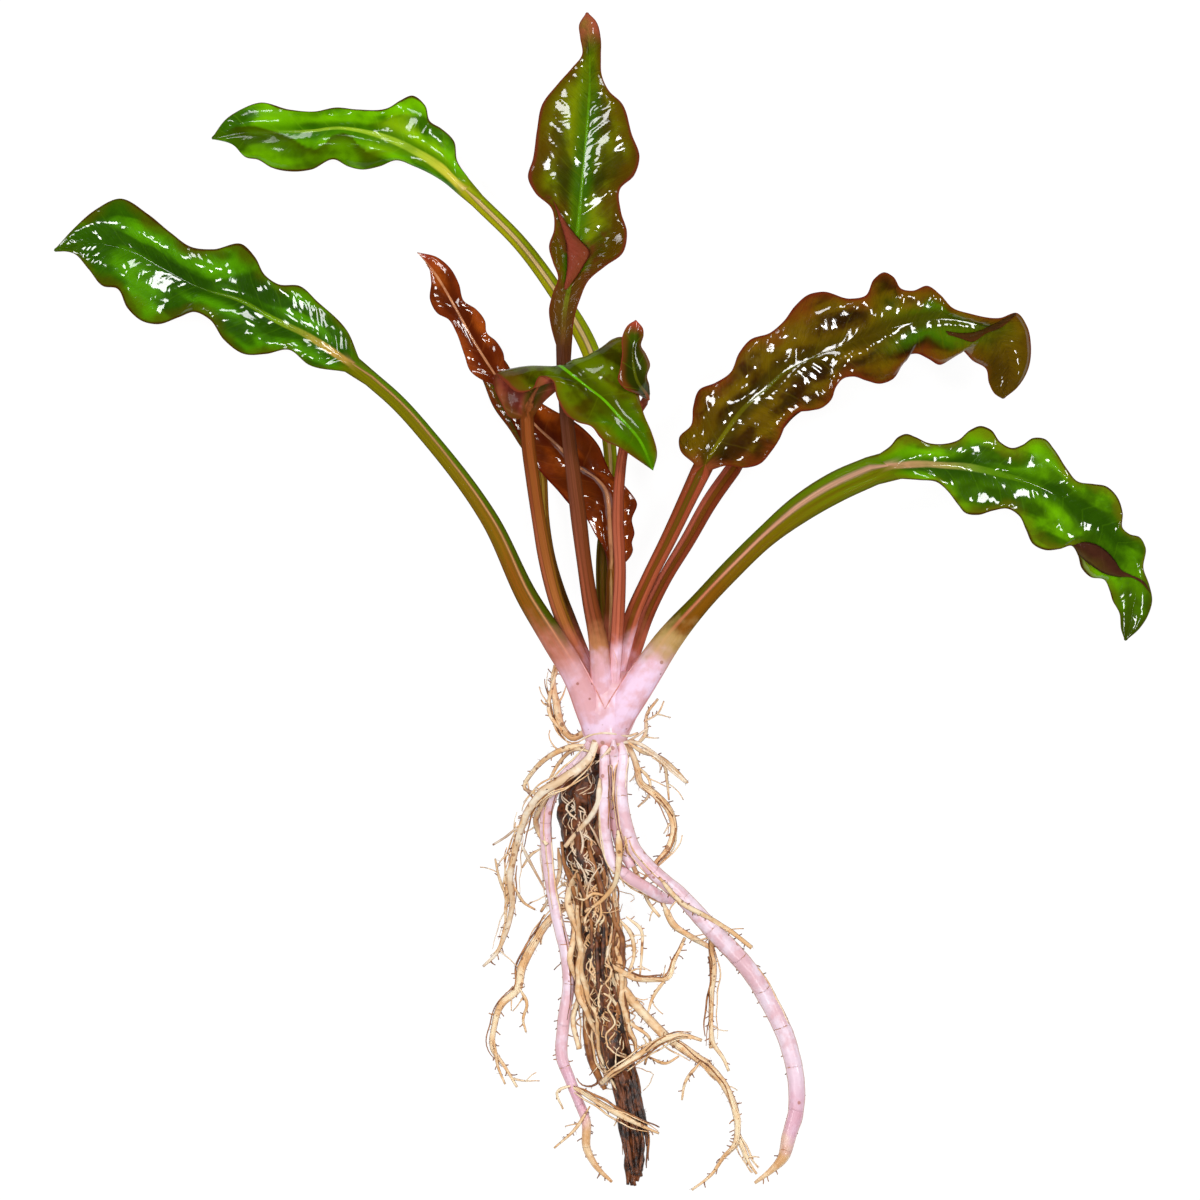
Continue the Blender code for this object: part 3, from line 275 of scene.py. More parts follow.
            [(69.6, 53), (72, 52.3), (74.4, 51.6), (77.2, 53.3), (80.2, 54.5), (83.2, 57)],
            0.8,
        ),
        "crinkle": 0.095, "rise": (0.6, -0.6),
    },
    "leaf_low_right": {
        "petiole": [
            (2.4, -27, 15.6, 2.6), (4.3, -22, 17.3, 3.4), (7.2, -17.6, 17.8, 3.3),
            (9.6, -14, 17.8, 3.1), (13.7, -8, 17.8, 2.7), (20.2, -0.4, 18.2, 2.1),
            (26, 5.8, 18.8, 2.1), (33, 12.6, 19.8, 2.2), (40, 18.2, 20.6, 2.8), (48, 23, 21.2, 3.1),
            (54.4, 25.8, 21.4, 3),
        ],
        "midrib": [
            (57.6, 26.6, 21.4), (64, 27, 21), (72, 26.8, 20), (80, 25.2, 18.2), (88, 22.6, 15.8),
            (95, 19, 13), (101, 14.4, 10), (105.4, 8.8, 6.8), (107.2, 4, 4.6), (106.8, -1.6, 2.8),
            (105.2, -8.2, 1.2),
        ],
        "left": [
            (55.8, 29.2), (58, 30.8), (59.6, 32.6), (61.2, 33.2), (63, 32.6), (65.6, 31.4),
            (68.6, 31.2), (71.6, 32), (74, 34), (76, 34.8), (78.2, 34), (80, 31.6), (82.4, 30.4),
            (84.4, 31), (86.6, 32.4), (89, 32.2), (90.8, 30.2), (93.4, 26.2), (95.4, 23.8),
            (98.8, 23.2), (101.2, 22.8), (103.4, 20.8), (104.6, 17.4), (104.6, 14.4), (106, 13.2),
            (108, 12.6), (109.2, 10.6), (108.8, 6.4), (110, 3), (110.6, 0), (109.8, -3),
            (108, -5.8), (105.2, -8.2),
        ],
        "right": [
            (60, 24.2), (64, 24), (67.4, 23.6), (69.6, 21.6), (71.6, 19), (73, 17.4), (75.6, 17),
            (78.4, 17.8), (81.6, 18.2), (83.8, 16.8), (85.2, 14), (86.6, 11.2), (89, 10),
            (92, 10.2), (94.4, 10.8), (95.6, 9), (96.4, 6.4), (98.2, 4.6), (101, 4), (102, 2),
            (102.6, 0), (104, -2.6), (104.4, -6), (105.2, -8.2),
        ],
        "flap": (
            [(94.8, 11), (97, 11.6), (99.6, 11), (101.6, 9.6), (103.2, 7.8), (104.4, 6), (106.4, 5),
             (109, 3.6), (110, 2)],
            [(94.8, 10.8), (96.4, 8.4), (98.4, 6.8), (101.4, 5.1), (104, 4.6), (106.4, 4.5),
             (108.8, 3), (110.2, 1.4)],
            0.8,
        ),
        "rise": (0.8, 0.2), "channel": 0.5,
    },
    "leaf_behind_right": {
        "petiole": [
            (4.2, -17, 13.4, 1.4), (7, -10, 12.6, 1.4), (9.2, -3.6, 12, 1.4), (12.8, 4, 11.2, 1.4),
            (17.6, 12, 10.2, 1.5), (22.2, 20, 9.2, 1.6), (26.6, 26.2, 8.4, 1.6),
        ],
        "midrib": [
            (28.4, 29.4, 7.8), (32, 34.6, 6.8), (37, 40.2, 5.6), (44, 45.8, 4.4), (53, 50.6, 3.4),
            (61, 54, 2.6), (68.6, 55.8, 1.6),
        ],
        "half_widths": (3.6, 3.2), "waves": 4, "rise": (0.6, 0.6),
    },
    "leaf_behind_left": {
        "petiole": [
            (0, -18, 13.6, 1.2), (-3.4, -10.4, 12.4, 1.2), (-5.8, -4, 11.4, 1.1), (-8, 2, 10.4, 1),
            (-9.8, 8, 9.4, 1), (-11, 16, 8.2, 0.9), (-11.4, 24, 7.2, 0.9),
        ],
        "midrib": [
            (-12.6, 29, 6.6), (-16.4, 36.6, 5.6), (-20.6, 44.4, 4.4), (-24.4, 51, 3.4),
            (-27.8, 57, 2.6), (-30.6, 62.4, 1.6),
        ],
        "half_widths": (2.6, 2.6), "waves": 3, "rise": (0.3, 0.3),
    },
}

# The crown's own sections from below to above: (x, y, z, half width, half depth).
CROWN = [
    (1.2, -30.8, 15, 1.8, 1.6), (1.2, -29.9, 15, 3, 2.7), (1.2, -28.6, 15, 3.9, 3.5),
    (1.2, -27, 15, 4.6, 4.1), (1.4, -24.8, 15, 5.4, 4.6), (1.5, -22, 15.1, 6.3, 5),
    (1.6, -18.5, 15, 5.9, 4.6), (1.6, -15, 14.8, 4.6, 3.8), (1.7, -12.8, 14.6, 3, 2.6),
]
CROWN_SIDES = 64

# The edges of the sheaths that wrap the crown: radius at the start and end, then (x, y).
SHEATH_EDGES = [
    (0.10, 0.16, [(-4.2, -11.6), (-2.9, -13.9), (-1.5, -16.5), (-0.1, -19.4), (1.0, -21.8)]),
    (0.10, 0.16, [(7.2, -12.4), (5.9, -14.2), (4.5, -16.2), (2.6, -19.0), (1.0, -21.8)]),
    (0.10, 0.14, [(1.7, -8.2), (2.7, -10.0), (3.5, -13.1)]),
]

# Each root or runner as (x, y, z, radius) from the crown's end to its tip.
ROOTS = {
    "rootstock": [
        (0.6, -27, 13.6, 2), (-0.6, -31.6, 12.8, 2.3), (-2.4, -34.8, 12, 2.9), (-4, -38.4, 11, 3.6),
        (-4, -44, 10, 3.8), (-3.4, -50, 9.2, 3.6), (-1.8, -57, 8, 3.1), (-0.6, -64, 6.9, 2.8),
        (0.2, -76.4, 5.4, 2.6), (1.6, -84, 4.4, 2.6), (2.8, -89.2, 3.6, 2.6),
        (5.6, -99.4, 2.6, 2.2), (7.2, -109, 2.3, 2.2), (7.4, -115.2, 1.9, 1.6),
    ],
    "runner_left": [
        (-1.2, -27.6, 16, 0.9), (-3.4, -31, 16, 1.05), (-5.6, -33.6, 15.4, 1.1),
        (-8.8, -37.4, 14.6, 1.15), (-10.6, -42, 13, 1.2), (-10.7, -49.2, 10.6, 1.2),
        (-9.8, -57.2, 8.4, 1.15), (-8.6, -63.6, 6.6, 1.15), (-6.8, -71.2, 4.2, 1.2),
        (-6.3, -76.4, 2.8, 1.2), (-7.4, -85.4, 1.5, 1.25), (-7.6, -91.8, 1.2, 1.2),
        (-6.2, -95.6, 1.1, 1.1), (-4.2, -100.6, 1, 1), (-2.8, -104.4, 0.95, 0.95),
        (-2.6, -110, 0.8, 0.8), (-0.8, -113.4, 0.6, 0.6), (2.4, -116.6, 0.35, 0.3),
    ],
    "runner_middle": [
        (1.1, -27.6, 17.2, 0.9), (0.9, -32, 17.4, 1.05), (1, -36, 17.2, 1.15), (0.9, -40, 17, 1.2),
        (1.2, -47.8, 15.6, 1.2), (2.4, -52.2, 14.4, 1.25), (6, -55.6, 12.8, 1.3),
        (9.6, -57.8, 10.8, 1.25), (13, -59.8, 8.8, 1), (14.8, -60.4, 8, 0.6),
    ],
    "runner_right": [
        (3.4, -27.6, 16.4, 0.9), (4.7, -31.6, 16.8, 1.1), (4.4, -34.6, 17.2, 1.2),
        (4.2, -38, 17, 1.3), (4.9, -43.6, 16.2, 1.35), (6.9, -49.8, 14.8, 1.4),
        (10.8, -54.4, 13.2, 1.5), (16, -59, 11.4, 1.6), (22.2, -65.8, 9, 1.8),
        (27, -70.8, 6.8, 1.85), (30.4, -74.8, 5.2, 1.85), (33.8, -80.4, 3.4, 1.85),
        (36.6, -86, 2.4, 1.8), (38.6, -92.2, 1.9, 1.75), (39.4, -98, 1.75, 1.7),
        (39.2, -102.6, 1.65, 1.6), (37.8, -107.6, 1.5, 1.45), (36.6, -111.8, 1.2, 1.1),
        (34.6, -114, 0.8, 0.7), (31, -116.8, 0.4, 0.3),
    ],
    "root_long_left": [
        (-0.8, -27.6, 17.4, 0.85), (-2, -31.4, 18.4, 1), (-4.2, -33.6, 19.1, 1.15),
        (-7.4, -35.8, 19, 1.15), (-12, -38.8, 17.6, 1), (-14.8, -43, 15, 0.95),
        (-16.6, -49, 11.6, 0.85), (-18, -56, 8, 0.8), (-17.6, -61, 5.6, 0.75),
        (-19, -66.8, 3.4, 0.65), (-20.6, -70.6, 1.8, 0.5), (-23.4, -73.4, 0.5, 0.3),
    ],
    "root_low_left": [
        (-2.2, -57.6, 6.8, 0.8), (-6.2, -60.6, 4.6, 0.9), (-10.4, -64.4, 2.9, 1),
        (-13.2, -68.8, 1.8, 1.05), (-15.6, -73.4, 1.2, 1.1), (-16.6, -78, 1, 0.95),
        (-19.6, -80.8, 0.95, 0.9), (-21.2, -85.4, 0.8, 0.75), (-21.4, -90, 0.7, 0.65),
        (-19.4, -93, 0.5, 0.45), (-16.6, -97.6, 0.35, 0.3),
    ],
    "root_low_right": [
        (1.4, -74.8, 5, 1), (4.6, -77.8, 4.4, 1.15), (6.6, -80.4, 3.6, 1.2), (9.6, -83.8, 2.6, 1.2),
        (13.2, -87.4, 1.8, 1.2), (17, -90, 1.3, 1.2), (22, -93.8, 1.15, 1.15), (24.8, -97, 1, 1),
        (26.6, -100.6, 0.95, 0.95), (27.6, -105.6, 0.85, 0.85), (27.2, -108.8, 0.8, 0.75),
        (24.6, -111.8, 0.6, 0.55), (22.4, -115, 0.5, 0.4), (18.4, -118.2, 0.35, 0.3),
    ],
    "root_low_right_fork": [
        (27.4, -107, 0.9, 0.55), (28.8, -109.8, 0.6, 0.5), (30, -113, 0.5, 0.4),
        (31.4, -115, 0.4, 0.3),
    ],
    "root_cross_upper": [
        (0.2, -96.8, 3.8, 0.8), (2.4, -94.9, 6.5, 0.85), (5.4, -92.8, 7.8, 0.85),
        (9.8, -89.6, 6.2, 0.8), (13.2, -87.8, 4.4, 0.75), (17, -87.2, 3.4, 0.6),
        (20.4, -88.2, 3, 0.4),
    ],
    "root_cross_lower": [
        (-5.6, -97.4, 1.4, 0.55), (-3.2, -98.8, 3, 0.65), (0, -100.8, 4.6, 0.75),
        (5, -103.6, 5.6, 0.75), (8.6, -105.4, 5.2, 0.5), (11.8, -106.8, 4.4, 0.3),
    ],
    "root_side": [
        (1.2, -72.8, 7, 0.65), (4.4, -74.4, 6.2, 0.7), (7, -75.8, 5.2, 0.7), (10.6, -76, 4, 0.65),
        (13.4, -75.8, 3.4, 0.6), (15, -72, 3.2, 0.5), (17, -67.6, 3.4, 0.4),
    ],
    "root_hanging": [
        (22.4, -66.2, 8.2, 0.7), (22.2, -69.6, 6, 0.7), (22.8, -73.6, 4.4, 0.8),
        (22.4, -78, 3, 0.7), (22.2, -84, 1.6, 0.6), (22.2, -89.8, 0.8, 0.45),
    ],
    "root_loop_right": [
        (4, -27, 13.8, 0.65), (6.4, -30.6, 13.4, 0.75), (7.4, -33.6, 13, 0.8),
        (8, -36.4, 12.6, 0.9), (11.2, -39, 12, 0.95), (14, -42.4, 11.4, 0.95),
        (14.8, -45.6, 11, 0.9), (13.8, -49.4, 10.4, 0.8), (11, -52.8, 9.8, 0.6),
        (8.6, -56, 9.2, 0.35),
    ],
    "root_behind": [
        (-1.4, -60.2, 6.6, 0.8), (-4.4, -64.2, 4.2, 1), (-5, -70.6, 2.6, 1.2),
        (-4.2, -76, 1.8, 1.4), (-2.4, -82, 1.5, 1.45), (-2.2, -88, 1.5, 1.45),
        (-1.2, -93.4, 1.2, 1.15), (1, -98, 0.7, 0.6),
    ],
    "root_beside_crown": [
        (-2.6, -26.2, 12.6, 0.75), (-5.4, -27.6, 11.6, 0.85), (-7.8, -25, 10.8, 0.95),
        (-8.7, -20.8, 10, 0.95), (-9.4, -16, 9.4, 0.7), (-9, -13, 9.2, 0.4),
    ],
}

# Thin roots drawn one by one: start height, end height, start radius, end radius, then (x, y).
# Each one lies on whatever thicker piece it crosses.
THIN_ROOTS = {
    "thin_roots_crown": [
        (16, 8, 0.55, 0.3, [(-1.6, -30.4), (-5, -29.8), (-8.2, -32.6), (-10, -35.8)]),
        (15, 7, 0.7, 0.35, [(-3, -29), (-5.8, -29.4), (-11.4, -32.2), (-13, -33.8), (-15, -37.8),
            (-12.8, -38.8)]),
        (16, 2, 0.5, 0.25, [(5.6, -28.4), (8.6, -30.4), (12.4, -31.6), (15, -33.8), (17.6, -36.6)]),
        (14, 6, 0.45, 0.2, [(10.4, -31.4), (12.8, -33), (13.4, -36), (13.8, -40)]),
        (13, 8, 0.4, 0.2, [(7.4, -33), (10, -36.4), (9.6, -39.4), (7.6, -41.4)]),
        (12, 5, 0.5, 0.25, [(6.6, -29.6), (9, -27), (9.4, -22.8), (11.6, -19.8)]),
        (11, 9, 0.3, 0.15, [(8.8, -24.4), (11.8, -22.4), (12.8, -20.2)]),
        (11, 9, 0.45, 0.3, [(-7.6, -26.4), (-10.2, -22.4), (-9.6, -17.4), (-8.4, -13.2)]),
        (10, 8, 0.3, 0.15, [(-9.4, -20.6), (-11, -21), (-11.8, -20)]),
    ],
    "thin_roots_cream": [
        (16, 15, 0.28, 0.24, [(-4.4, -28.6), (-2.4, -27.2), (0.4, -26.6), (3.4, -26.8),
            (5.6, -27.2), (7.6, -26.6)]),
        (17, 13, 0.3, 0.24, [(-1, -32.8), (1.8, -30.6), (4.6, -28.8), (6.8, -27.6), (9.6, -25.6)]),
        (17, 15, 0.26, 0.2, [(-1, -32.2), (1.6, -32.6), (2.6, -33.8), (4.4, -31)]),
        (18.6, 12.6, 0.7, 0.45, [(0, -35.6), (-0.6, -41), (-2.4, -44), (-5, -46.8), (-7, -49.4)]),
        (15, 9.6, 0.3, 0.2, [(-4.4, -44.8), (-3.4, -48.6), (-4, -52.4), (-2.2, -55)]),
        (15, 9.6, 0.28, 0.18, [(-2.4, -44.4), (-0.4, -48.2), (0.4, -51.4), (-1, -54.4)]),
        (14, 9.6, 0.25, 0.16, [(-5.2, -51.4), (-3, -55), (-2.4, -57.8)]),
        (14, 9, 0.25, 0.16, [(-0.2, -53.4), (-2, -56.4), (-2.6, -58.8), (-2.4, -61.6)]),
        (15, 5, 0.35, 0.2, [(-16.2, -45), (-18.6, -47.2), (-21.4, -49)]),
        (14, 5, 0.4, 0.2, [(-16.2, -48), (-13.4, -53.6), (-11, -58)]),
        (15, 12, 0.5, 0.25, [(0.2, -31.6), (3.2, -29), (6.6, -28.4), (10.2, -30.2), (13.4, -33),
            (17.4, -36.4)]),
        (15, 12, 0.3, 0.2, [(7.2, -29.2), (11.2, -31.4), (14.2, -34.2), (17.2, -36.6)]),
        (6, 5, 0.3, 0.15, [(0.6, -66), (1.6, -70.4), (0.4, -74), (1.8, -79)]),
    ],
    "thin_roots_runner": [
        (16.2, 13.6, 1.15, 1, [(2.6, -27.8), (2.9, -33), (2.9, -38), (3, -43.6), (4, -49),
            (6.4, -53.4)]),
    ],
    "thin_roots_upper": [
        (16, 6, 0.85, 0.45, [(-9.8, -37.6), (-11.6, -41), (-12.8, -44), (-12, -47), (-10.6, -49)]),
        (17, 10, 0.9, 0.3, [(3.6, -46), (3.8, -52), (2.8, -57), (0.4, -60), (-3, -62.4)]),
        (11, 10, 0.5, 0.2, [(1.2, -59.2), (-1.6, -58.8), (-3.2, -60), (-5, -59.4)]),
        (11, 10, 0.45, 0.2, [(0, -60.4), (0.2, -63), (-1, -65.2)]),
        (11, 10, 0.35, 0.2, [(-1.6, -61.6), (-3, -64), (-2.6, -66.4)]),
        (13, 7, 0.6, 0.3, [(5, -47.2), (6.4, -52.4), (8.4, -57.2), (10, -61), (12, -63.4)]),
        (12, 8.6, 0.55, 0.45, [(11.8, -55.4), (16.4, -60.6), (21.4, -63.4), (26, -66.2),
            (30.4, -69.6)]),
        (9, 4.6, 0.8, 0.5, [(12.6, -60.6), (14.8, -65), (18.6, -67.6), (22.2, -69.6)]),
        (9, 6, 0.45, 0.2, [(-11.6, -49.6), (-13.8, -51), (-15.6, -53.6)]),
        (8, 3, 0.55, 0.3, [(-8.4, -49.6), (-8, -54), (-9.4, -58.4), (-11.8, -62.4)]),
        (7, 3, 0.45, 0.2, [(-17.4, -57), (-15, -60.8), (-13, -62)]),
        (6, 2, 0.4, 0.2, [(-18.2, -60.4), (-20.2, -55.6), (-21, -51.8)]),
    ],
    "thin_roots_lower": [
        (7, 2, 0.8, 0.5, [(-4.4, -54), (-6.4, -60), (-5, -66), (-6, -72), (-4, -78), (-5.4, -84),
            (-4.2, -90)]),
        (6, 2, 0.7, 0.4, [(1.6, -60), (3.4, -66), (3, -71), (4.4, -76), (3.8, -82), (6, -88)]),
        (6, 2, 0.6, 0.3, [(-3.4, -64), (-3, -70), (-3.8, -76), (-0.6, -84), (0, -92), (3.4, -98)]),
        (6.4, 3, 0.5, 0.3, [(4, -64), (6.2, -67), (6.8, -71.4), (5.4, -75.4)]),
        (5.6, 3, 0.4, 0.2, [(5.2, -63.4), (8.2, -66), (8.4, -70), (8, -75.2)]),
        (4, 1, 0.5, 0.2, [(13.4, -75.6), (10.4, -80), (9.6, -82.6)]),
        (3, 0.8, 0.45, 0.2, [(-16.2, -77.6), (-14.6, -81), (-15.4, -84), (-14.8, -86.6)]),
        (2, 0.6, 0.4, 0.2, [(-21.2, -88), (-20.4, -93.6), (-19, -97)]),
        (2.2, 0.8, 0.45, 0.2, [(20.2, -92.4), (17, -96.8), (16.4, -100.2)]),
        (2, 0.8, 0.6, 0.3, [(22.4, -84), (22.6, -88.6), (24.8, -92), (25.8, -94.4)]),
        (2, 0.8, 0.45, 0.2, [(-2, -101.4), (-5, -106), (-9.2, -109.8)]),
        (2, 0.8, 0.4, 0.2, [(-5, -97), (-8.6, -98.6), (-7.4, -102)]),
        (5, 2, 0.5, 0.25, [(1, -78), (6, -84.6), (10, -88), (9, -93)]),
        (4, 1, 0.45, 0.2, [(9.6, -91.4), (13.2, -92.8), (15.8, -91.4)]),
    ],
}


def lengths_along(points):
    """The distance walked to each point."""
    steps = np.linalg.norm(np.diff(points[:, :3], axis=0), axis=1)
    return np.concatenate([[0.0], np.cumsum(steps)])


def curve_at(points, places):
    """Points on a smooth curve through the given points, at distances along it."""
    points = np.asarray(points, float)
    walked = lengths_along(points)
    spans = np.diff(walked)[:, None]
    slopes = np.diff(points, axis=0) / spans
    tangents = np.empty_like(points)
    tangents[0], tangents[-1] = slopes[0], slopes[-1]
    tangents[1:-1] = (slopes[:-1] * spans[1:] + slopes[1:] * spans[:-1]) / (spans[1:] + spans[:-1])
    places = np.clip(places, 0.0, walked[-1])
    index = np.clip(np.searchsorted(walked, places, side="right") - 1, 0, len(points) - 2)
    span = spans[index]
    t = ((places - walked[index]) / span[:, 0])[:, None]
    return (
        points[index] * (1 + 2 * t) * (1 - t) ** 2
        + tangents[index] * span * t * (1 - t) ** 2
        + points[index + 1] * t**2 * (3 - 2 * t)
        + tangents[index + 1] * span * t**2 * (t - 1)
    )


def curve_shares(points, shares):
    """Points at shares from 0 to 1 of the length of a smooth curve."""
    points = np.asarray(points, float)
    return curve_at(points, np.asarray(shares) * lengths_along(points)[-1])


def evenly(points, step):
    """A smooth curve's points, about one step apart."""
    length = lengths_along(np.asarray(points, float))[-1]
    return curve_at(points, np.linspace(0.0, length, max(4, int(round(length / step)) + 1)))


def smoothed(values, width):
    """A running average with a bell of the given width in samples."""
    reach = int(3 * width)
    bell = np.exp(-0.5 * (np.arange(-reach, reach + 1) / width) ** 2)
    padded = np.pad(values, reach, mode="edge")
    return np.convolve(padded, bell / bell.sum(), mode="valid")


def unit(vectors):
    return vectors / np.linalg.norm(vectors, axis=-1, keepdims=True)


def leftward(path):
    """Unit vectors in the table's plane to the left of a path."""
    tangents = unit(np.gradient(path[:, :2], axis=0))
    return np.stack([-tangents[:, 1], tangents[:, 0]], axis=1)


def ease(values):
    """A smooth step from 0 to 1."""
    t = np.clip(values, 0.0, 1.0)
    return t * t * (3 - 2 * t)


def noise_at(points, seed):
    """Smooth noise from -1 to 1 at each point of an array."""
    flat = np.asarray(points, float).reshape(-1, 3) + seed * 17.3
    return np.array([noise.noise(Vector(p)) for p in flat]).reshape(np.shape(points)[:-1])


def top_at(tree, x, y):
    """The height of the highest surface at a place, or None beside it."""
    hit = tree.ray_cast(Vector((x, y, ABOVE_ALL)), Vector((0.0, 0.0, -1.0)))[0]
    return None if hit is None else hit.z


class Skin:
    """A mesh that grows by lofts, with named values kept at its points."""

    def __init__(self):
        self.points = []
        self.faces = []
        self.values = {}
        self.count = 0

    def loft(self, rings, values=None, end=None):
        """Adds a closed loft through rings of points, with a fan at each end."""
        rings = np.asarray(rings, float)
        count, sides = rings.shape[:2]
        last = rings[-1].mean(axis=0) if end is None else end
        row = np.arange(count - 1)[:, None] * sides + self.count
        here = np.arange(sides)[None, :]
        there = (here + 1) % sides
        quads = np.stack([row + here, row + there, row + sides + there, row + sides + here], -1)
        self.faces += quads.reshape(-1, 4).tolist()
        low = self.count + count * sides
        top = self.count + (count - 1) * sides
        for j in range(sides):
            k = (j + 1) % sides
            self.faces.append((self.count + k, self.count + j, low))
            self.faces.append((top + j, top + k, low + 1))
        self.points.append(np.concatenate([rings.reshape(-1, 3), [rings[0].mean(axis=0), last]]))
        for name, value in (values or {}).items():
            spread = np.broadcast_to(value, (count, sides))
            flat = np.concatenate([spread.reshape(-1), [spread[0].mean(), spread[-1].mean()]])
            self.values.setdefault(name, []).append(flat)
        self.count += count * sides + 2

    def mesh(self, name):
        points = (np.concatenate(self.points) - (*OUTLINE_MIDDLE, 0.0)) * MM
        mesh = bpy.data.meshes.new(name)
        mesh.from_pydata(points.tolist(), [], self.faces)
        for label, parts in self.values.items():
            attribute = mesh.attributes.new(label, "FLOAT", "POINT")
            attribute.data.foreach_set("value", np.concatenate(parts).astype(np.float32))
        mesh.shade_smooth()
        return mesh

    def take(self, other):
        """Adds another skin's surface, without its values."""
        self.points += other.points
        self.faces += [tuple(i + self.count for i in face) for face in other.faces]
        self.count += other.count

    def tree(self):
        return BVHTree.FromPolygons(np.concatenate(self.points).tolist(), self.faces)


def placed(name, data):
    """An object in the scene for a mesh, a camera or a light."""
    obj = bpy.data.objects.new(name, data)
    bpy.context.scene.collection.objects.link(obj)
    return obj


def show(name, mesh, material, replaces=()):
    """Puts a finished mesh in the scene as a piece that rides on the plant."""
    obj = placed(name, mesh)
    mesh.materials.clear()
    mesh.materials.append(material)
    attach(obj, "root")
    if replaces:
        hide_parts(*replaces)


# Leaves


def columns_across():
    """Places across a blade from -1 to 1, closest together at the midrib and at the margins."""
    even = np.linspace(-1.0, 1.0, TOP_COLUMNS)
    return even - 0.75 * np.sin(2 * math.pi * even) / (2 * math.pi)


def around(top):
    """Values of the columns over a ring's upper side, carried on round its lower side."""
    return np.concatenate([top, top[-2:0:-1]])


def path_rings(path, sides, turned=False, flatness=1.0, channel=None):
    """Ellipses across a path of (x, y, z, half width), from its left edge over its upper face."""
    tangents = unit(np.gradient(path[:, :3], axis=0))
    side = unit(np.cross(tangents, (0.0, 0.0, 1.0)))
    up = np.cross(side, tangents)
    if turned:
        side, up = -side, -up
    angles = math.pi - np.arange(sides) * 2 * math.pi / sides
    wide = np.cos(angles)
    deep = np.repeat((np.sin(angles) * flatness)[None, :], len(path), axis=0)
    if channel is not None:
        dip = np.exp(-((wide / 0.42) ** 2)) * (np.sin(angles) > 0)
        deep -= channel[:, None] * dip[None, :]
    radius = path[:, 3][:, None, None]
    return (
        path[:, None, :3]
        + radius * wide[None, :, None] * side[:, None, :]
        + radius * deep[:, :, None] * up[:, None, :]
    )


def margin_by_rule(leaf, midrib, side, shares):
    """A hidden blade's margin: a pointed oval's half width, with waves along it."""
    outward = leftward(midrib) * (-1 if side else 1)
    oval = np.sin(math.pi * shares**0.75) ** 0.8
    wave = 1 + 0.1 * np.cos(2 * math.pi * leaf["waves"] * shares + math.pi * side)
    half = leaf["half_widths"][side] * oval * wave + leaf["petiole"][-1][3] * (1 - shares)
    return midrib[:, :2] + outward * half[:, None]


def blade_margin(leaf, midrib, side, shares):
    """One margin of a blade with its heights: it droops where it swings out and lifts between."""
    name = ("left", "right")[side]
    if name in leaf:
        flat = curve_shares(leaf[name], shares)
    else:
        flat = margin_by_rule(leaf, midrib, side, shares)
    if flat.shape[1] == 3:
        return flat
    half = np.linalg.norm(flat - midrib[:, :2], axis=1)
    ruffle = -RUFFLE * (half - smoothed(half, len(shares) / 9.0))
    fade = np.sin(math.pi * np.clip(shares, 0.0, 1.0)) ** 0.5
    return np.column_stack([flat, midrib[:, 2] + (ruffle + leaf["rise"][side]) * fade])


def leaf_relief(along, reach, widths, sides, seed, crinkle):
    """The blade's own relief: each half is a low dome with long swells and fine slanted creases."""
    depth = np.full_like(reach, 9.0 * seed)
    signed = reach * sides
    slanted = along - VEIN_SLANT * reach

    def waves(first, second, number):
        return noise_at(np.stack([first, second, depth], axis=-1), seed + number)

    row = np.stack([along, 30.0 * sides, depth], axis=-1)
    dome = (DOME + 0.5 * noise_at(row / 12.0, seed)) * np.minimum(widths / 8.0, 1.1)
    swell = 0.34 * waves(along / 11.0, signed / 3.6, 1) + 0.10 * waves(along / 5.0, signed / 2.0, 2)
    creases = waves(slanted, signed / 4.6, 3) + 0.7 * waves(slanted / 0.55, signed / 2.6, 4)
    fade = ease(reach / 1.6) * ease((widths - reach) / 1.2)
    bulge = dome * np.sin(math.pi * np.clip(reach / widths, 0.0, 1.0))
    # The second value is how deep a point lies in a hollow: the finish paints shade there and a
    # highlight on the crests.
    return bulge + fade * (swell + crinkle * creases), -swell / 0.11


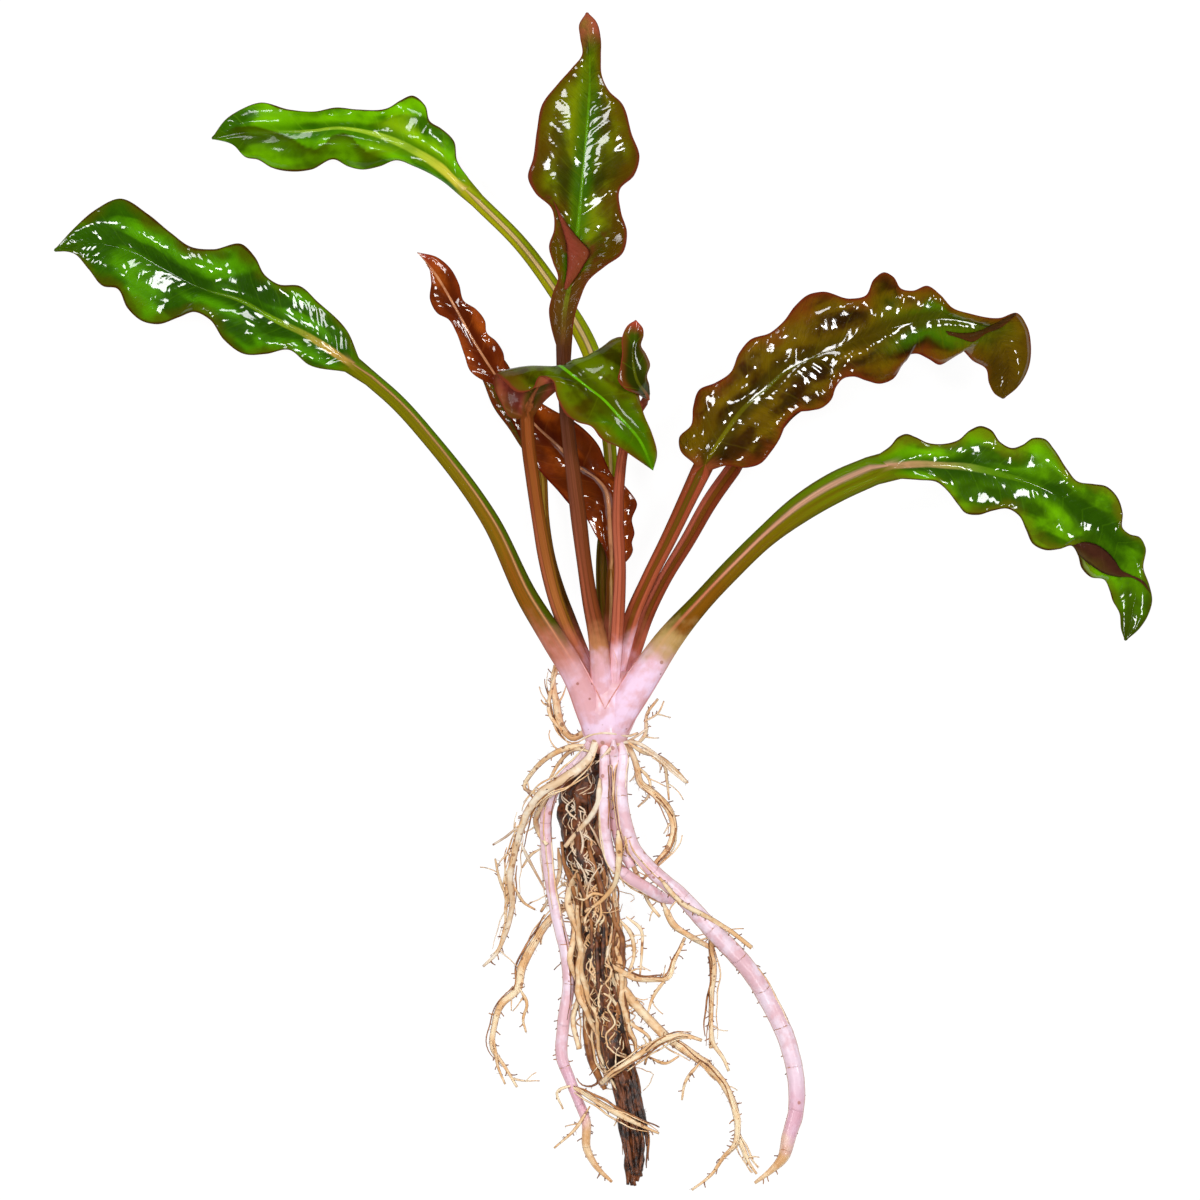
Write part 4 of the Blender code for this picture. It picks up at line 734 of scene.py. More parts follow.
def blade_rings(leaf, seed):
    """Closed lens sections across the blade, with the values that its finish reads."""
    shares = np.linspace(0.0, 1.0, BLADE_RINGS)
    midrib = curve_shares(leaf["midrib"], shares)
    along = lengths_along(midrib)
    across = columns_across()
    middle = np.zeros((BLADE_RINGS, TOP_COLUMNS, 3))
    reach = np.zeros((BLADE_RINGS, TOP_COLUMNS))
    widths = np.zeros((BLADE_RINGS, TOP_COLUMNS))
    for side, picked in enumerate((across <= 0, across > 0)):
        out = blade_margin(leaf, midrib, side, shares) - midrib
        half = np.linalg.norm(out, axis=1) + 1e-6
        ratio = np.abs(across[picked])[None, :, None]
        middle[:, picked] = midrib[:, None] + out[:, None] * ratio
        middle[:, picked, 2] += out[:, None, 2] * (ratio**1.5 - ratio)[:, :, 0]
        reach[:, picked] = half[:, None] * ratio[:, :, 0]
        widths[:, picked] = half[:, None]
    over = np.gradient(middle, axis=1)
    normals = unit(np.cross(over, np.gradient(middle, axis=0)) + 1e-12)
    sides = np.repeat(np.sign(across)[None, :], BLADE_RINGS, axis=0)
    rows = np.repeat(along[:, None], TOP_COLUMNS, axis=1)
    relief, hollow = leaf_relief(rows, reach, widths, sides, seed, leaf.get("crinkle", CRINKLE))
    end_fade = ease((1 - shares) / 0.04) * ease(shares / 0.04)
    middle += normals * (relief * end_fade[:, None])[:, :, None]
    neck = leaf["petiole"][-1][3]
    rib_height = neck * PETIOLE_FLATNESS * (1 - shares) ** 1.6
    rib_width = 0.35 * neck + 0.55 * neck * (1 - shares)
    rib = rib_height[:, None] * np.exp(-((reach / rib_width[:, None]) ** 2))
    skin = LAMINA / 2 * np.minimum(1.0, 0.15 + 3.4 * (1 - np.abs(across)))
    above_share = 0.12 + 0.88 * np.clip(1 - shares / 0.22, 0.0, 1.0) ** 2
    above = middle + normals * (skin + rib * above_share[:, None])[:, :, None]
    below = middle - normals * (skin + rib)[:, :, None]
    edges = middle[:, [0, -1]]
    rings = np.concatenate([edges[:, :1], above[:, 1:-1], edges[:, 1:], below[:, -2:0:-1]], axis=1)
    sunk = np.minimum(np.minimum(above[:, :, 2], below[:, :, 2]), 0.0)
    columns = around(np.arange(TOP_COLUMNS))
    rings[:, :, 2] -= sunk[:, columns]
    values = {"reach": reach[:-1][:, columns], "hollow": hollow[:-1][:, columns]}
    return rings[:-1], values, along[:-1], shares[:-1], midrib[-1]


def fold_mask(leaf, points):
    """How deep a point lies in the shade under the leaf's crease, from 0 to 1."""
    if "crease" not in leaf:
        return np.zeros(points.shape[:-1])
    line = np.array(leaf["crease"])
    below = np.interp(points[..., 0], line[:, 0], line[:, 1]) - points[..., 1]
    inside = ease((points[..., 0] - line[0, 0]) / 6.0) * ease((line[-1, 0] - points[..., 0]) / 5.0)
    return ease(below / 0.5) * inside * np.exp(-np.maximum(below, 0.0) / 5.0)


def add_flap(skin, base, edge, lift):
    """A tongue of the blade that has rolled over and lies on its upper face, underside up."""
    surface = skin.tree()
    shares = np.linspace(0.0, 1.0, 40)
    line, tip = curve_shares(base, shares), curve_shares(edge, shares)
    steps = np.linspace(0.0, 1.0, 9)
    flat = line[:, None] + (tip - line)[:, None] * steps[None, :, None]
    height = np.zeros(flat.shape[:2])
    for i, row in enumerate(flat):
        for j, (x, y) in enumerate(row):
            height[i, j] = top_at(surface, x, y) or surface.find_nearest(Vector((x, y, 20.0)))[0].z
    width = np.linalg.norm(tip - line, axis=1)[:, None]
    bulge = lift * np.minimum(width / 3.0, 1.0) * np.sin(math.pi * (0.1 + 0.8 * steps))[None, :]
    bulge *= ease(np.minimum(shares, 1 - shares) / 0.12)[:, None]
    top = np.dstack([flat, height + 0.25 + bulge])
    under = top[:, -2:0:-1] - (0.0, 0.0, 0.3)
    across = around(0.35 + 0.65 * steps)[::-1]
    values = {
        "across": across, "under": 1.0, "share": 0.5, "hollow": 0.0,
        "along": lengths_along(np.column_stack([line, 0 * shares]))[:, None],
        "fold": 1.15 - 0.5 * across,
        "reach": 3.0 + 5.0 * across,
    }
    skin.loft(np.concatenate([top, under], axis=1)[:, ::-1], values)


def leaf_skin(leaf, seed):
    """One leaf's petiole and blade as one closed mesh."""
    whole = lengths_along(np.asarray(leaf["petiole"], float))[-1]
    walked = np.linspace(0.0, whole, int(whole / PETIOLE_STEP) + 1)
    path = curve_at(leaf["petiole"], walked)
    across = around(columns_across())
    stalk_across = around(-np.cos(np.linspace(0.0, math.pi, TOP_COLUMNS)))
    sides = len(across)
    grown = ease((walked / whole - 0.25) / 0.75)
    channel = (0.12 + (leaf.get("channel", CHANNEL) - 0.12) * grown) * ease((walked - 12.0) / 10.0)
    stalk = path_rings(path, sides, leaf.get("turned", False), PETIOLE_FLATNESS, channel)
    rings, values, along, shares, tip = blade_rings(leaf, seed)
    steps = ease(np.linspace(0.0, 1.0, NECK_RINGS + 2)[1:-1])[:, None, None]
    neck = stalk[-1] + (rings[0] - stalk[-1]) * steps
    neck_length = np.linalg.norm(rings[0].mean(axis=0) - stalk[-1].mean(axis=0))
    blade_start = whole + neck_length
    all_rings = np.concatenate([stalk, neck, rings])
    on_stalk = len(stalk) + NECK_RINGS
    to_blade = np.concatenate([walked, whole + neck_length * steps[:, 0, 0]])
    share = np.concatenate([to_blade / blade_start - 1.0, shares])[:, None]
    stalk_reach = np.abs(stalk_across)[None, :] * path[:, 3][:, None]
    neck_reach = stalk_reach[-1] + (values["reach"][0] - stalk_reach[-1]) * steps[:, :, 0]
    values["reach"] = np.concatenate([stalk_reach, neck_reach, values["reach"]])
    values["hollow"] = np.concatenate([np.zeros((on_stalk, sides)), values["hollow"]])
    values["across"] = np.concatenate(
        [np.tile(stalk_across, (on_stalk, 1)), np.tile(across, (len(rings), 1))]
    )
    values["under"] = (np.arange(sides) >= TOP_COLUMNS).astype(float)
    values["along"] = np.concatenate([to_blade, blade_start + along])[:, None]
    values["share"] = share
    values["fold"] = fold_mask(leaf, all_rings) * (share > 0.0)
    skin = Skin()
    skin.loft(all_rings, values, end=np.array((tip[0], tip[1], max(tip[2], LAMINA / 2))))
    if "flap" in leaf:
        add_flap(skin, *leaf["flap"])
    return skin


# Shading


class Wiring:
    """Short calls that add nodes to a tree and link what feeds them."""

    def __init__(self, tree):
        self.tree = tree

    def node(self, kind, inputs=(), **settings):
        node = self.tree.nodes.new(kind)
        for name, value in settings.items():
            setattr(node, name, value)
        for name, value in dict(inputs).items():
            self.feed(node.inputs[name], value)
        return node

    def feed(self, socket, value):
        if isinstance(value, bpy.types.NodeSocket):
            self.tree.links.new(value, socket)
        else:
            socket.default_value = value

    def made(self, kind, inputs=(), **settings):
        """A new node's first result."""
        return self.node(kind, inputs, **settings).outputs[0]

    def math(self, operation, first, second=0.0):
        return self.made("ShaderNodeMath", {0: first, 1: second}, operation=operation)

    def plus(self, total, *others):
        for other in others:
            total = self.math("ADD", total, other)
        return total

    def times(self, product, *others):
        for other in others:
            product = self.math("MULTIPLY", product, other)
        return product

    def minus(self, first, second):
        return self.math("SUBTRACT", first, second)

    def size(self, value):
        """A value without its sign."""
        return self.math("ABSOLUTE", value)

    def vector(self, operation, first, second):
        return self.made("ShaderNodeVectorMath", {0: first, 1: second}, operation=operation)

    def ramp(self, value, low, high, start=0.0, stop=1.0):
        """A smooth change from start to stop while the value goes from low to high."""
        inputs = {0: value, 1: low, 2: high, 3: start, 4: stop}
        return self.made("ShaderNodeMapRange", inputs, interpolation_type="SMOOTHSTEP")

    def blend(self, factor, first, second):
        """A mix of two colours."""
        inputs = {0: factor, 6: first, 7: second}
        return self.node("ShaderNodeMix", inputs, data_type="RGBA").outputs[2]

    def tint(self, face, tone, value, low, high, start=0.0, stop=1.0):
        """A colour, and another over it that sets in while the value goes from low to high."""
        return self.blend(self.ramp(value, low, high, start, stop), face, tone)

    def noise(self, place, scale, detail=2.0, distortion=0.0):
        inputs = {"Vector": place, "Scale": scale, "Detail": detail, "Distortion": distortion}
        return self.node("ShaderNodeTexNoise", inputs).outputs["Fac"]

    def torn(self, place, scale, detail=2.0):
        """Noise on both sides of 0, which makes a border uneven."""
        return self.minus(self.noise(place, scale, detail), 0.5)

    def value(self, name):
        """A value kept at the mesh's points."""
        return self.node("ShaderNodeAttribute", attribute_name=name).outputs["Fac"]

    def parts(self, place):
        """A place's three numbers."""
        return self.node("ShaderNodeSeparateXYZ", {0: place}).outputs

    def stretch(self, first, second, third):
        """A place made from three numbers."""
        return self.made("ShaderNodeCombineXYZ", {0: first, 1: second, 2: third})

    def flank(self):
        """How far the surface itself turns from straight up or down, from 0 to 1."""
        normal = self.node("ShaderNodeTexCoord").outputs["Normal"]
        return self.minus(1.0, self.size(self.parts(normal)[2]))

    def group(self, name, inputs):
        """A node group's result, for the inputs given by name."""
        return self.made("ShaderNodeGroup", inputs, node_tree=GROUPS[name])

    def mottled(self, place, patches_a_metre, dark, light):
        inputs = {"Patches a metre": patches_a_metre, "Dark": dark, "Light": light}
        return self.group("Mottle", {"Place": place, **inputs})

    def flecked(self, face, place, flecks_a_metre, size, amount, tone):
        """A colour with flecks of another over it."""
        inputs = {"Place": place, "Flecks a metre": flecks_a_metre, "Size": size}
        return self.blend(self.times(self.group("Flecks", inputs), amount), face, tone)

    def ripples(self, place, ripples_a_metre):
        return self.group("Wet skin", {"Place": place, "Ripples a metre": ripples_a_metre})


def colour(red, green, blue):
    return (red, green, blue, 1.0)


def paint(red, green, blue):
    """A colour from its values of 0 to 255 on a screen."""
    levels = [level / 255 for level in (red, green, blue)]
    return colour(*[v / 12.92 if v < 0.04045 else ((v + 0.055) / 1.055) ** 2.4 for v in levels])


def painted(value):
    """A look with each colour in it, which is three whole numbers, made ready for a shader."""
    if isinstance(value, dict):
        return {name: painted(part) for name, part in value.items()}
    if not isinstance(value, tuple):
        return value
    if len(value) == 3 and all(isinstance(part, int) for part in value):
        return paint(*value)
    return tuple(painted(part) for part in value)


def shaded(tone, factor):
    """A colour made darker or lighter."""
    return colour(*[min(1.0, level * factor) for level in tone[:3]])


SOCKETS = {
    "vector": "NodeSocketVector", "number": "NodeSocketFloat", "colour": "NodeSocketColor",
    "whole number": "NodeSocketInt", "shape": "NodeSocketGeometry", "finish": "NodeSocketMaterial",
}
GROUPS = {}


def new_group(name, inputs, label, kind, tree_kind="ShaderNodeTree"):
    """A new node group: its wiring, its inputs by name and the socket of its result."""
    tree = bpy.data.node_groups.new(name, tree_kind)
    for given, given_kind in inputs.items():
        tree.interface.new_socket(given, in_out="INPUT", socket_type=SOCKETS[given_kind])
    tree.interface.new_socket(label, in_out="OUTPUT", socket_type=SOCKETS[kind])
    entry = tree.nodes.new("NodeGroupInput")
    leave = tree.nodes.new("NodeGroupOutput")
    GROUPS[name] = tree
    return Wiring(tree), entry.outputs, leave.inputs[0]


def make_mottle():
    """Soft patches of a light and a dark colour, a large kind with a small kind in it."""
    inputs = {"Place": "vector", "Patches a metre": "number", "Dark": "colour", "Light": "colour"}
    wire, given, result = new_group("Mottle", inputs, "Colour", "colour")
    place, scale = given["Place"], given["Patches a metre"]
    large = wire.noise(place, scale, 3.0, 0.4)
    small = wire.noise(place, wire.times(scale, 4.3), 3.0)
    mixed = wire.plus(wire.times(large, 0.68), wire.times(small, 0.32))
    wire.feed(result, wire.tint(given["Dark"], given["Light"], mixed, 0.40, 0.60))


def make_side_veins():
    """Fine lines that leave the midrib at a slant and fade towards the margin."""
    inputs = {"Along": "number", "Reach": "number", "Place": "vector"}
    wire, given, result = new_group("Side veins", inputs, "Mask", "number")
    wobble = wire.times(wire.noise(given["Place"], 260.0), 1.3)
    slanted = wire.minus(given["Along"], wire.times(given["Reach"], VEIN_SLANT))
    phase = wire.math("DIVIDE", wire.plus(slanted, wobble), VEIN_SPACING)
    beside = wire.size(wire.minus(wire.math("FRACT", phase), 0.5))
    line = wire.ramp(beside, 0.0, 0.055, 1.0, 0.0)
    wire.feed(result, wire.times(line, wire.ramp(given["Reach"], 4.0, 9.0, 1.0, 0.25)))


def make_stripes():
    """Fibres that run along a stalk."""
    inputs = {"Across": "number", "Along": "number", "Side": "number", "Fineness": "number"}
    wire, given, result = new_group("Stripes", inputs, "Mask", "number")
    across = wire.times(given["Across"], given["Fineness"])
    place = wire.stretch(across, wire.times(given["Along"], 0.035), given["Side"])
    wire.feed(result, wire.ramp(wire.noise(place, 1.0, 3.0), 0.38, 0.62))


def make_flecks():
    """Small spots scattered at random, with their own sizes."""
    inputs = {"Place": "vector", "Flecks a metre": "number", "Size": "number"}
    wire, given, result = new_group("Flecks", inputs, "Mask", "number")
    spots = {"Vector": given["Place"], "Scale": given["Flecks a metre"]}
    cells = wire.node("ShaderNodeTexVoronoi", spots).outputs
    chance = wire.made("ShaderNodeSeparateColor", {0: cells["Color"]})
    size = wire.times(given["Size"], wire.ramp(chance, 0.45, 1.0))
    wire.feed(result, wire.ramp(wire.minus(size, cells["Distance"]), 0.0, 0.06))


def make_wet_skin():
    """The unevenness of a wet skin, which breaks up its reflections."""
    inputs = {"Place": "vector", "Ripples a metre": "number"}
    wire, given, result = new_group("Wet skin", inputs, "Height", "number")
    place, scale = given["Place"], given["Ripples a metre"]
    fine = wire.noise(place, wire.times(scale, 3.1), 2.0, 0.3)
    wire.feed(result, wire.plus(wire.noise(place, scale, 2.0, 0.6), wire.times(fine, 0.35)))


for make_effect in (make_mottle, make_side_veins, make_stripes, make_flecks, make_wet_skin):
    make_effect()


def new_material(name, **shader_values):
    material = bpy.data.materials.new(name)
    material.use_nodes = True
    shader = material.node_tree.nodes["Principled BSDF"]
    for socket, value in shader_values.items():
        shader.inputs[socket.replace("_", " ")].default_value = value
    wire = Wiring(material.node_tree)
    return material, shader.inputs, wire, wire.node("ShaderNodeTexCoord").outputs["Object"]


def add_bump(wire, shader, height, millimetres):
    inputs = {"Height": height, "Distance": millimetres * MM, "Strength": 1.0}
    wire.feed(shader["Normal"], wire.node("ShaderNodeBump", inputs).outputs["Normal"])


def blade_colour(wire, place, look, side):
    """One face of the blade: mottled, with painted shade in its hollows and a painted highlight on
    its swells, darker beside the midrib (mostly painted shade) and browner towards the margin.
    """
    share, across = wire.value("share"), wire.size(wire.value("across"))
    dark, light, hollow = look[side + "dark"], look[side + "light"], wire.value("hollow")
    torn = wire.torn(place, 160.0, 3.0)
    face = wire.mottled(place, 95.0, dark, light)
    # Painted shade in the relief's hollows and a painted highlight on its swells.
    face = wire.tint(face, shaded(dark, 0.45), hollow, 0.0, 1.0, 0.0, 0.75)
    face = wire.tint(face, shaded(light, 1.5), hollow, -1.2, -0.1, 0.4, 0.0)
    if not side:
        start, stop, amount, zone = look["zone"]
        there = wire.times(
            wire.ramp(share, start - 0.12, start + 0.06),
            wire.ramp(share, stop, stop + 0.15, 1.0, 0.0),
            wire.ramp(wire.plus(across, torn), 0.3, 0.7, amount, 0.0),
        )
        face = wire.blend(there, face, zone)
    begin, full, amount, outer = look["outer"]
    spread = wire.plus(across, wire.times(torn, 0.9))
    face = wire.tint(face, outer, spread, begin, full, 0.0, amount)
    # A band in the trough beside the midrib: on most leaves a darker tone that is painted shade, on
    # some a colour of their own.
    trough = wire.ramp(wire.value("reach"), 0.9, 3.2, 0.75, 0.0)
    trough = wire.times(trough, wire.ramp(share, 0.6, 0.95, 1.0, 0.2))
    face = wire.blend(trough, face, look["trough"])
    lines = {"Along": wire.value("along"), "Reach": wire.value("reach"), "Place": place}
    veins = wire.times(wire.group("Side veins", lines), 0.18)
    face = wire.blend(veins, face, look[side + "vein"])
    end, amount, base = look["base"]
    face = wire.tint(face, base, wire.plus(share, torn), end - 0.1, end, amount, 0.0)
    start, tip = look["tip"]
    face = wire.tint(face, tip, wire.plus(share, wire.times(torn, 0.15)), start, 1.0)
    # Painted shade under a crease, and on a rolled-over flap its darker colour, strongest near
    # where it turns.
    face = wire.blend(wire.times(wire.value("fold"), 0.9), face, look["fold"])
    edge = wire.plus(across, wire.times(torn, 0.12))
    return wire.tint(face, look["edge"], edge, look["edge_start"], 0.985)


def stalk_colour(wire, place, look):
    """The petiole: a channel of its own colour between two sides, fibres along it, dark edges."""
    across, share = wire.value("across"), wire.value("share")
    patchy = wire.plus(share, wire.times(wire.noise(place, 70.0), 0.3))
    grown = wire.ramp(patchy, *look["grown"])
    left, centre, right = [wire.blend(grown, low, high) for low, high in look["stalk"]]
    middle, half = look["channel_at"]
    wavy = wire.plus(across, wire.times(wire.noise(place, 45.0), 0.25))
    offset = wire.minus(wavy, middle + 0.12)
    face = wire.tint(left, centre, offset, -half - 0.1, -half + 0.1)
    face = wire.tint(face, right, offset, half - 0.1, half + 0.1)
    fibres = {"Across": across, "Along": wire.value("along"), "Side": wire.value("under")}
    stripes = wire.group("Stripes", {**fibres, "Fineness": 4.5})
    face = wire.blend(wire.times(stripes, 0.4), face, look["stripe"])
    rim = wire.size(wire.minus(wire.size(offset), half))
    face = wire.tint(face, look["stalk_edge"], rim, 0.02, 0.13, 0.5, 0.0)
    return wire.tint(face, look["stalk_edge"], wire.size(across), 0.8, 1.0, 0.0, 0.75), stripes


def sheath_colour(wire, place, look, face):
    """Turns a petiole red and then pale pink where it comes to the crown."""
    height = wire.plus(wire.parts(place)[1], wire.times(wire.torn(place, 170.0, 3.0), 0.016))
    low, high = look["blush"]
    face = wire.tint(face, look["sheath"], height, low, high, 0.8, 0.0)
    edge = wire.size(wire.value("across"))
    pink = wire.mottled(place, 130.0, *SHEATH_COLOURS)
    pink = wire.tint(pink, paint(204, 112, 92), edge, 0.86, 0.98, 0.0, 0.6)
    pink = wire.flecked(pink, place, 420.0, 0.2, 0.7, paint(150, 80, 55))
    full, none = look["pale"]
    return wire.tint(face, pink, height, full, none, 1.0, 0.0)


def leaf_material(name, look):
    """A wet leaf: its petiole, midrib, blade and underside, read from values on the mesh."""
    material, shader, wire, place = new_material(
        name, Roughness=0.2, Coat_Weight=0.5, Coat_Roughness=0.06, Specular_IOR_Level=0.02
    )
    share, across, reach = wire.value("share"), wire.value("across"), wire.value("reach")
    under = wire.value("under")
    faces = [blade_colour(wire, place, look, side) for side in ("", "under_")]
    width, narrow, end, near, far = look["rib"]
    beside = wire.math("DIVIDE", reach, wire.ramp(share, 0.0, 0.6, width, narrow))
    rib = wire.times(
        wire.ramp(beside, 0.55, 1.1, 1.0, 0.0),
        wire.ramp(wire.noise(place, 240.0), 0.3, 0.6, 0.6, 1.0),
        wire.ramp(share, end - 0.35, end, 1.0, 0.0),
    )
    rib_colour = wire.blend(under, wire.tint(near, far, share, 0.0, 0.3), look["under_rib"])
    blade = wire.blend(rib, wire.blend(under, *faces), rib_colour)
    stalk, stripes = stalk_colour(wire, place, look)
    stalk = sheath_colour(wire, place, look, stalk)
    wire.feed(shader["Base Color"], wire.tint(stalk, blade, share, -0.03, 0.05))
    edge, dry_end = wire.size(across), look["base"][0]
    film = wire.times(
        wire.ramp(edge, 0.86, 0.97, 1.0, 0.0),
        wire.ramp(share, 0.0, 0.08, 0.05, look["shine"]),
        wire.ramp(wire.value("fold"), 0.0, 1.0, 1.0, 0.1),
        wire.ramp(under, 0.0, 1.0, 1.0, look["under_shine"]),
        wire.ramp(share, dry_end, dry_end + 0.1, 0.08, 1.0),
    )
    wire.feed(shader["Coat Weight"], film)
    uneven = wire.ramp(wire.noise(place, 300.0, 3.0), 0.3, 0.7, 0.14, 0.26)
    dry = wire.plus(wire.ramp(edge, 0.86, 0.97, 0.0, 0.4), wire.ramp(share, -0.05, 0.05, 0.28, 0.0))
    wire.feed(shader["Roughness"], wire.plus(uneven, dry))
    slanted = wire.minus(wire.value("along"), wire.times(reach, VEIN_SLANT))
    grain = wire.stretch(wire.times(slanted, 1.2), wire.times(reach, 0.36), across)
    creased = wire.ramp(share, -0.05, 0.05, 0.0, look["creased"])
    creases = wire.times(wire.noise(grain, 1.0, 3.0, 0.9), creased)
    ridges = wire.times(stripes, wire.ramp(share, -0.02, 0.02, 0.26, 0.0))
    add_bump(wire, shader, wire.plus(creases, ridges), 0.2)
    return material


# A colour is its three values of 0 to 255 on a screen, and share is 0 at a blade's base and 1 at
# its tip. Every leaf has this look, except where its own says otherwise.
SHEATH_COLOURS = painted(((234, 178, 186), (250, 216, 240)))
GREEN_LOOK = {
    "light": (82, 150, 0),
    "dark": (52, 100, 0),
    # the trough beside the midrib, darker here as painted shade
    "trough": (36, 74, 0),
    "vein": (96, 150, 8),
    "zone": (2.0, 3.0, 0.0, (0, 0, 0)),  # shares where it starts and stops, amount, colour
    "outer": (0.62, 1.0, 0.75, (82, 84, 0)),  # places across, amount, colour
    "tip": (0.9, (66, 100, 0)),
    "edge": (70, 48, 4),
    "edge_start": 0.93,
    "rib": (0.9, 0.3, 0.6, (206, 160, 76), (116, 160, 10)),  # widths, end, colours
    "base": (-0.2, 0.0, (0, 0, 0)),  # the share where it ends, amount, colour
    # the painted shade under a crease, and the colour of a rolled-over flap
    "fold": (52, 76, 0),
    "shine": 0.95,
    "under_shine": 0.15,
    "creased": 1.2,
    "under_light": (176, 92, 60),
    "under_dark": (126, 62, 40),
    "under_vein": (190, 130, 90),
    "under_rib": (170, 96, 60),
    "sheath": (220, 126, 98),
    "blush": (-0.0120, -0.001),  # where a sheath is fully red and where that starts
    "pale": (-0.0155, -0.0085),  # where it is fully pale and where that starts
    "grown": (-0.65, 0.1),  # the shares between which a petiole changes colour
    "channel_at": (0.0, 0.3),
    "stripe": (92, 84, 10),
    "stalk_edge": (72, 56, 4),
    # the left side, the channel and the right side, each from the crown's end to the blade's
    "stalk": (
        ((128, 84, 44), (118, 132, 8)), ((196, 128, 92), (214, 160, 118)),
        ((110, 92, 16), (112, 136, 4)),
    ),
}
